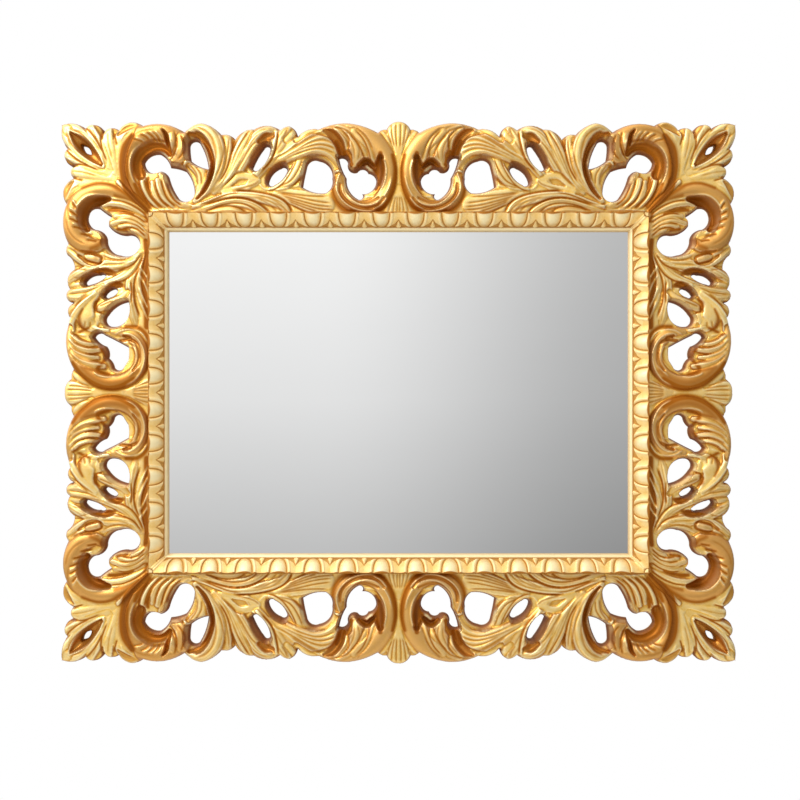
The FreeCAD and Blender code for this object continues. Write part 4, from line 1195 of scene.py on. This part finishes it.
def gilding(name, crest_highlight, gold, valley_shade, warm, glaze, shaded_wall, metal, rough):
    """Gold leaf over red clay, painted brighter on the crests as highlight and toned with brown glaze and
    painted shade in the hollows, on the slopes and on the walls of the piercings. It is left off the back,
    where the wood shows."""
    material, shader, place = new_material(name)
    finish_and_shading = place.node("Attribute", {}, attribute_name="finish_and_shading")
    # crest: paler gold as painted highlight on crests, deeper as painted shade in valleys; depth: brown
    # glaze and painted shade, darkest on the walls of the piercings
    crest = place.node("SeparateColor", {0: finish_and_shading}, output=0)
    depth = place.node("SeparateColor", {0: finish_and_shading}, output=1)
    warmth = place.node("SeparateColor", {0: finish_and_shading}, output=2)
    bare = place.node("Attribute", {}, output="Alpha", attribute_name="finish_and_shading")
    wood, grain_lines = limewood(place)
    mottle = speckle(place, MOTTLE_SIZE)
    specks = speckle(place, SPECK_SIZE, 2.0)
    tone = crest + (mottle - 0.5) * MOTTLE_TONE + (specks - 0.5) * SPECK_TONE
    leaf = blend(between(tone, *GOLD_TO_PALE), blend(between(tone, *DEEP_TO_GOLD), valley_shade, gold), crest_highlight)
    leaf = blend(warmth * (0.75 + mottle * 0.4), leaf, warm)
    # Painted shade: towards the brown glaze colour, then the darker brown of the shaded walls
    leaf = blend(depth * 2.0, leaf, blend(depth * 2.0 - 1.0, glaze, shaded_wall))
    shader.inputs["Specular IOR Level"].default_value = SHEEN
    feed(
        shader,
        Base_Color=blend(bare, leaf, wood),
        Roughness=rough + mottle * 0.14 + depth * 0.2 + bare * 0.25 + grain_lines * bare * 0.1,
        Metallic=metal * (1.0 - depth * 0.75) * (1.0 - bare),
        Normal=place.node("Bump", {"Height": specks + mottle * 2.0, "Strength": 0.12, "Distance": 0.0006}),
    )
    return material


border_gold = gilding(
    "border_gold",
    crest_highlight=tint(255, 236, 180),
    gold=tint(252, 203, 100),
    valley_shade=tint(186, 120, 32),
    warm=tint(214, 152, 74),
    glaze=tint(164, 94, 14),
    shaded_wall=tint(126, 72, 26),
    metal=0.68,
    rough=0.28,
)
for side, kind in (("top", "rail"), ("bottom", "rail"), ("left", "stile"), ("right", "stile")):
    member = carved_member(f"border_{side}", f"carved_{kind}_{side}")
    member.data.materials.append(border_gold)
    smooth_within(member, BORDER_CREASE)
    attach(member, "frame")
    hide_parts(f"carved_{kind}_{side}")


# Corner splines
# Four loose hardwood tongues, one in each corner, glued into grooves that are cut across the mitres of the
# border. They keep its members level with each other.


def repaint(material, *nodes):
    """Gives the material to pieces that keep the shape they were built with."""
    for node in nodes:
        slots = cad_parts[node].data.materials
        slots.clear()
        slots.append(material)


spline_wood, shader, place = new_material("spline_wood")
wood, grain = limewood(place)
feed(shader, Base_Color=blend(grain, wood, tint(150, 108, 64)), Roughness=0.5 + grain * 0.2)
repaint(spline_wood, "corner_splines")


# Sight moulding
# Four limewood mouldings, mitred at the corners and screwed to the border's flange, that hold the glass in
# their rebate. The swelling slope is carved with egg and dart, and a flat fillet runs beside the glass.

SLOPE_HEAD = (-1.2, 37.4)
SLOPE_FOOT = (-21.0, 17.6)
SLOPE_SWELL = 3.2
SLOPE_LENGTH = math.dist(SLOPE_HEAD, SLOPE_FOOT)
SLOPE_ROWS = 38
COLUMN_STEP = 0.85
MOULDING_CREASE = 45
EGG_HALF_WIDTH = 12.0
EGG_LENGTH = 27.6
EGG_SWELL = 4.6
EGG_SUNK = 1.2
EGG_FOOT = 0.45  # share of the egg's length from which its foot is painted darker, as shade
EGG_FOOT_SHADE = 0.22
CUP_GROOVE = 1.3
CUP_GROOVE_RUN = (-0.6, CUP_GROOVE + 0.2)
CUP_GROOVE_DEPTH = 1.7
CUP_GROOVE_SHADE_RUN = (-0.7, CUP_GROOVE + 0.4)
CUP_GROOVE_SHADE = 0.42
CUP_RIM = 5.0
CUP_RIM_RISE = 1.4
CUP_FALL = 0.8
CUP_FALL_START = 2.0  # before the end of the rim
DART_APEX = 10.0
RECESS_CURVE = 2.4
RECESS_TIP = 1.2
RECESS_TIP_RUN = (0.0, 0.2)
RECESS_EDGE = (-0.4, 0.9)
RECESS_DEPTH = 2.2
RECESS_SHADE = 0.3
TONGUE_HALF_WIDTH = 5.2
TONGUE_CURVE = 1.4
TONGUE_TIP = 0.5
TONGUE_TIP_RUN = (0.1, 0.4)
TONGUE_RISE = 2.8
TONGUE_SIDES = (0.2, 0.9)
TONGUE_END = 0.75  # share of the recess below which the tongue is rounded off
TONGUE_END_LEFT = 0.02  # share of its width that is left at the very end
CREST_EDGE = (0.2, 0.9)
CREST_SHADOW = 0.4
MITRE_LEAF = (1.2, 4.0)
MITRE_LEAF_HEIGHT = 0.7
CORNER_KNOB = 7.5
KNOB_EDGE = (CORNER_KNOB - 0.4, CORNER_KNOB + 0.4)
KNOB_TOP = 1.6
KNOB_FALL = 1.4
KNOB_CUT_RUN = (CORNER_KNOB - 0.6, CORNER_KNOB + 1.2)
KNOB_CUT = 1.3
KNOB_CUT_SHADE = 0.8
TONE_LEVEL = 0.5  # crest tone of the plain slope, and how much a millimetre of relief adds, so that raised parts take a paler gold as painted highlight
TONE_PER_MM = 0.065
FILLET = [(-26.0, 7.0), (-26.0, 9.0), (-23.9, 15.4), (-23.2, 16.4), (-21.8, 17.0)]
FILLET_TONE = 0.9
GLASS_SHADOW = 0.25
HEAD_DROP = 0.5
HEAD_TONE = 0.4
HEAD_SHADOW = 0.8
BODY = [(0.0, 12.0), (-12.0, 12.0), (-12.0, 0.0), (-19.0, 0.0), (-19.0, 7.0)]
RAIL_EGGS = (SIGHT_CORNER[0], 50.74, 14.8)  # half length of the side, pitch, end past the last dart
STILE_EGGS = (SIGHT_CORNER[1], 49.7, 18.5)


def ramp(values, start, end):
    """Rises smoothly from 0 to 1 between two values."""
    share = np.clip((values - start) / (end - start), 0, 1)
    return share * share * (3 - 2 * share)


def band(values, start, end):
    """Rises smoothly from 0 at both ends to 1 halfway between them."""
    return np.sin(math.pi * np.clip((values - start) / (end - start), 0, 1))


def egg_and_dart(along, down, out, half, pitch, corner):
    """Relief of the slope at places along it and down from its crest, and the painted shade at each place.
    """
    past_last = np.abs(along) - (half - corner)
    to_egg = np.abs(np.abs(along) / pitch % 1 - 0.5) * pitch
    to_egg = np.where(past_last > 0, pitch / 2 + past_last, to_egg)
    to_dart = np.abs(pitch / 2 - to_egg)
    ring = np.hypot(to_egg / EGG_HALF_WIDTH, down / EGG_LENGTH)
    slant = np.hypot(to_egg / EGG_HALF_WIDTH**2, down / EGG_LENGTH**2)
    off_egg = (ring - 1) * ring / np.maximum(slant, 1e-6)
    egg = EGG_SWELL * np.clip(1 - ring**2, 0, 1) - EGG_SUNK

    rim_end = CUP_GROOVE + CUP_RIM
    cup = CUP_RIM_RISE * band(off_egg, CUP_GROOVE, rim_end)
    cup = cup - CUP_FALL * ramp(off_egg, rim_end - CUP_FALL_START, pitch / 2 - EGG_HALF_WIDTH)
    cup = cup - CUP_GROOVE_DEPTH * band(off_egg, *CUP_GROOVE_RUN)
    sunk = np.clip((down - DART_APEX) / (SLOPE_LENGTH - DART_APEX), 0, 1)
    recess_width = pitch / 2 * sunk**RECESS_CURVE + RECESS_TIP * ramp(sunk, *RECESS_TIP_RUN)
    in_recess = ramp(recess_width - to_dart, *RECESS_EDGE)
    past_end = np.clip(sunk - TONGUE_END, 0, 1 - TONGUE_END) / (1 - TONGUE_END)
    rounded_end = TONGUE_END_LEFT + np.sqrt(1 - past_end**2)
    tongue_width = (TONGUE_TIP + TONGUE_HALF_WIDTH * sunk**TONGUE_CURVE) * rounded_end
    tongue = np.sqrt(np.clip(1 - (to_dart / tongue_width) ** 2, 0, 1)) * ramp(sunk, *TONGUE_TIP_RUN)
    cup = cup + (TONGUE_RISE * tongue - RECESS_DEPTH - cup) * in_recess
    height = np.where(off_egg < 0, egg, cup)

    # Painted shade: on the feet of the eggs, in the cup grooves and the recesses beside the tongues, along
    # the crest's outer edge and in the cut round the corner knob
    egg_foot = EGG_FOOT_SHADE * ramp(down, EGG_FOOT * EGG_LENGTH, EGG_LENGTH)
    painted_shade = np.where(off_egg < 0, egg_foot, 0)
    painted_shade = np.maximum(painted_shade, CUP_GROOVE_SHADE * band(off_egg, *CUP_GROOVE_SHADE_RUN))
    painted_shade = np.maximum(painted_shade, RECESS_SHADE * in_recess * (1 - ramp(tongue, *TONGUE_SIDES)))
    painted_shade = np.maximum(painted_shade, CREST_SHADOW * (1 - ramp(down, *CREST_EDGE)))

    to_mitre = (half + out - np.abs(along)) / math.sqrt(2)
    leaf = 1 - ramp(to_mitre, *MITRE_LEAF)
    height = height + (MITRE_LEAF_HEIGHT - height) * leaf
    painted_shade = painted_shade * (1 - leaf)
    to_corner = np.hypot(half - np.abs(along), out)
    knob = 1 - ramp(to_corner, *KNOB_EDGE)
    height = height + (KNOB_TOP - KNOB_FALL * (to_corner / CORNER_KNOB) ** 2 - height) * knob
    cut = band(to_corner, *KNOB_CUT_RUN)
    height = height - KNOB_CUT * cut
    painted_shade = np.maximum(painted_shade * (1 - knob), KNOB_CUT_SHADE * cut)
    return height, painted_shade


def sight_moulding(side, half, pitch, corner):
    """One side of the moulding as a closed bar with mitred ends."""
    down_share = np.linspace(1, 0, SLOPE_ROWS)
    run = np.subtract(SLOPE_HEAD, SLOPE_FOOT)
    square = np.array([-run[1], run[0]]) / SLOPE_LENGTH
    swell = SLOPE_SWELL * (1 - (2 * down_share - 1) ** 2)
    slope = np.array(SLOPE_HEAD) - down_share[:, None] * run + swell[:, None] * square
    columns = np.linspace(-1, 1, int(2 * half / COLUMN_STEP))[:, None]
    along = columns * (half + slope[None, :, 0])
    down = np.broadcast_to(down_share * SLOPE_LENGTH, along.shape)
    out = np.broadcast_to(slope[:, 0], along.shape)
    relief, painted_shade = egg_and_dart(along, down, out, half, pitch, corner)

    rows = []
    whole = np.ones(len(columns))
    for place, height in FILLET:
        shadow = GLASS_SHADOW if place == FILLET[0][0] else 0.0
        rows.append((place * whole, height * whole, FILLET_TONE, shadow))
    for (place, height), raised, shaded in zip(slope, relief.T, painted_shade.T):
        tone = np.clip(TONE_LEVEL + TONE_PER_MM * raised, 0, 1)
        rows.append((place + square[0] * raised, height + square[1] * raised, tone, shaded))
    # a painted shadow line along the outer edge of the crest
    rows.append((0 * whole, rows[-1][1] - HEAD_DROP, HEAD_TONE, HEAD_SHADOW))
    for place, height in BODY:
        rows.append((place * whole, height * whole, 0.0, 0.0))
    section = np.array([np.column_stack(row[:2]) for row in rows])
    reach = columns[:, 0] * (half + section[:, :, 0])
    lying = side in ("top", "bottom")
    facing = 1 if side in ("top", "right") else -1
    across = facing * (SIGHT_CORNER[1 if lying else 0] + section[:, :, 0])
    depth = -BACK - section[:, :, 1]
    spots = np.stack([reach, depth, across] if lying else [across, depth, reach], axis=-1) / 1000
    ranks, count = spots.shape[:2]
    faces = []
    for rank in range(ranks):
        following = (rank + 1) % ranks
        for column in range(count - 1):
            here, there = rank * count + column, following * count + column
            faces.append((here, here + 1, there + 1, there))
    faces.append(tuple(rank * count for rank in range(ranks)))
    faces.append(tuple(rank * count + count - 1 for rank in reversed(range(ranks))))
    mesh = bpy.data.meshes.new(f"moulding_{side}")
    mesh.from_pydata(spots.reshape(-1, 3).tolist(), [], faces)
    shape = bmesh.new()
    shape.from_mesh(mesh)
    bmesh.ops.recalc_face_normals(shape, faces=shape.faces)
    shape.to_mesh(mesh)
    shape.free()
    colours = np.zeros((ranks, count, 4), np.float32)
    for rank, row in enumerate(rows):
        colours[rank, :, 0] = row[2]
        colours[rank, :, 1] = row[3]
    colours[-len(BODY):] = BARE
    return piece_with_finish_and_shading(mesh, colours)


moulding_gold = gilding(
    "moulding_gold",
    crest_highlight=tint(250, 231, 180),
    gold=tint(243, 201, 120),
    valley_shade=tint(204, 144, 50),
    warm=tint(206, 140, 60),
    glaze=tint(176, 112, 36),
    shaded_wall=tint(136, 80, 30),
    metal=0.3,
    rough=0.4,
)
for side, eggs in (("top", RAIL_EGGS), ("bottom", RAIL_EGGS), ("left", STILE_EGGS), ("right", STILE_EGGS)):
    bar = sight_moulding(side, *eggs)
    bar.data.materials.append(moulding_gold)
    smooth_within(bar, MOULDING_CREASE)
    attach(bar, "frame")
    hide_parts(f"sight_moulding_{side}")


# Fixings of the moulding
# Steel wedges are pressed into the backs of the moulding's mitres, and zinc-plated screws hold the moulding
# on the border's flange.


def plated(name, dull, bright, worn, roughness):
    """Plated metal with a cloudy bloom and fine scratches."""
    material, shader, place = new_material(name)
    bloom = speckle(place, 160.0)
    scratches = speckle(stretched(place, 300.0, 2400.0, 300.0), 1.0, 2.0)
    wear = between(speckle(place, 420.0, 6.0), 0.6, 0.72)
    shader.inputs["Metallic"].default_value = 1.0
    feed(
        shader,
        Base_Color=blend(wear * 0.5, blend(bloom, dull, bright), worn),
        Roughness=roughness + bloom * 0.12 + scratches * 0.1,
        Normal=place.node("Bump", {"Height": scratches, "Strength": 0.1, "Distance": 0.0002}),
    )
    return material


plain_steel = plated("plain_steel", tint(150, 150, 154), tint(196, 196, 200), tint(110, 98, 88), 0.3)
zinc_steel = plated("zinc_steel", tint(184, 186, 182), tint(222, 224, 220), tint(150, 148, 140), 0.26)
repaint(plain_steel, "moulding_v_nails")
repaint(zinc_steel, "moulding_screws")


# Glass
# A plain silvered glass that lies in the rebate of the moulding, with a little play round it. Its face has
# the faint cloudiness of a surface that has been wiped.

mirror, shader, place = new_material("mirror")
wiped = speckle(stretched(place, 5.0, 5.0, 14.0), 1.0, 3.0)
shader.inputs["Metallic"].default_value = 1.0
feed(
    shader,
    Base_Color=blend(wiped, (0.96, 0.965, 0.965, 1.0), (0.98, 0.985, 0.985, 1.0)),
    Roughness=0.004 + wiped * 0.012,
)
repaint(mirror, "mirror_glass")


# Backing board
# Brown hardboard with its smooth side out. It lies loose in the rebate behind the glass and keeps knocks
# off its silvering.

hardboard, shader, place = new_material("hardboard")
fibres = speckle(stretched(place, 260.0, 260.0, 130.0), 1.0, 5.0, 0.7)
patches = speckle(place, 9.0)
flecks = between(speckle(place, 900.0, 2.0), 0.62, 0.7)
board = blend(fibres, tint(108, 74, 46), tint(146, 106, 70))
board = blend(patches * 0.4, board, tint(122, 86, 54))
feed(
    shader,
    Base_Color=blend(flecks * 0.6, board, tint(74, 50, 32)),
    Roughness=0.5 + fibres * 0.2,
    Normal=place.node("Bump", {"Height": fibres, "Strength": 0.15, "Distance": 0.0003}),
)
repaint(hardboard, "backing_board")


# Turn buttons
# Eight zinc-plated steel plates, each on a screw of its own at the back. They are turned over the edge of
# the board, and hold it and the glass in the rebate.

BUTTON_COUNT = 8
repaint(zinc_steel, "turn_button_screws", *(f"turn_button_{number + 1}" for number in range(BUTTON_COUNT)))


# Hangers
# Two brass-plated hangers, one screwed to the back of each stile. The strap is folded round the straight
# leg of a D-shaped ring, which swings in the fold.

brass_plate = plated("brass_plate", tint(190, 150, 78), tint(232, 198, 122), tint(140, 104, 54), 0.24)
repaint(brass_plate, "hanger_strap_left", "hanger_strap_right", "hanger_ring_left", "hanger_ring_right")
repaint(zinc_steel, "hanger_screws")


# Wall bumpers
# Two rubber feet on the back of the frame, one near each lower corner. They keep its lower edge off the
# wall.

rubber, shader, place = new_material("rubber")
dust = speckle(place, 300.0)
feed(shader, Base_Color=blend(dust, tint(34, 33, 32), tint(60, 58, 56)), Roughness=0.6 + dust * 0.25)
repaint(rubber, "wall_bumper_left", "wall_bumper_right")


# Studio
# A plain pale floor below the picture, one large soft lamp at the upper left, and a room that is white
# behind the object. The glass shows the room in front of it, greyer downwards and to the right; the gold
# shows a bright upper left and a darker far side.

FLOOR_SIZE = 3.6
FLOOR_PLACE = (0, -0.3, -1.3)
LAMP_PLACE = (-1.05, -1.35, 1.1)
LAMP_POWER = 22
LAMP_SIZE = 1.0
ROOM_LIGHT = 0.83
# What shining surfaces see of the room: the directions where each change starts and ends, and its levels
RIGHT_SIDE = (-0.07, 0.2, 1.0, 0.54)
LOWER_HALF = (-0.12, 0.0, 0.53, 0.78)
UPPER_HALF = (0.0, 0.12, 0.0, 0.13)
SOFT_BOX = (0.3, 0.9, 0.0, 0.68)
FAR_SIDE = (-0.9, -0.3, 0.5, 1.0)
LEFT_SHARE = 0.7
EYE = (0.0021, -1.93, -0.0109)
LENS = 57.46
SENSOR_WIDTH = 36

bpy.ops.mesh.primitive_plane_add(size=FLOOR_SIZE, location=FLOOR_PLACE)
floor = bpy.context.object
floor.name = "floor"
pale_floor, shader, place = new_material("pale_floor")
feed(shader, Base_Color=blend(speckle(place, 6.0), tint(232, 231, 229), tint(240, 239, 237)))
floor.data.materials.append(pale_floor)

bpy.ops.object.light_add(type="AREA", location=LAMP_PLACE)
lamp = bpy.context.object
lamp.data.energy = LAMP_POWER
lamp.data.size = LAMP_SIZE
lamp.rotation_euler = (-lamp.location).to_track_quat("-Z", "Y").to_euler()

world = bpy.data.worlds.new("studio")
bpy.context.scene.world = world
world.use_nodes = True
room = world.node_tree
facing = Signal(room, room.nodes.new("ShaderNodeTexCoord").outputs["Generated"])
sideways = facing.node("SeparateXYZ", {0: facing}, output=0)
upward = facing.node("SeparateXYZ", {0: facing}, output=2)
seen = facing.node("LightPath", {}, output="Is Camera Ray")
passing = facing.node("LightPath", {}, output="Is Transmission Ray")
shining = facing.node("LightPath", {}, output="Is Glossy Ray")
to_right = between(sideways, *RIGHT_SIDE, "SMOOTHSTEP")
lower_half = between(upward, *LOWER_HALF)
upper_half = between(upward, *UPPER_HALF)
above_left = upward - sideways * LEFT_SHARE
soft_box = between(above_left, *SOFT_BOX, "SMOOTHSTEP")
far_side = between(above_left, *FAR_SIDE, "SMOOTHSTEP")
reflected = to_right * (lower_half + upper_half) * far_side + soft_box
white = seen + passing
brightness = white + shining * reflected + (1.0 - white - shining) * ROOM_LIGHT
room.links.new(brightness.socket, room.nodes["Background"].inputs["Strength"])
room.nodes["Background"].inputs["Color"].default_value = (1, 1, 1, 1)

bpy.ops.object.camera_add(location=EYE, rotation=(math.radians(90), 0, 0))
camera = bpy.context.object
camera.data.lens = LENS
camera.data.sensor_width = SENSOR_WIDTH
bpy.context.scene.camera = camera
bpy.context.scene.view_settings.view_transform = "Standard"
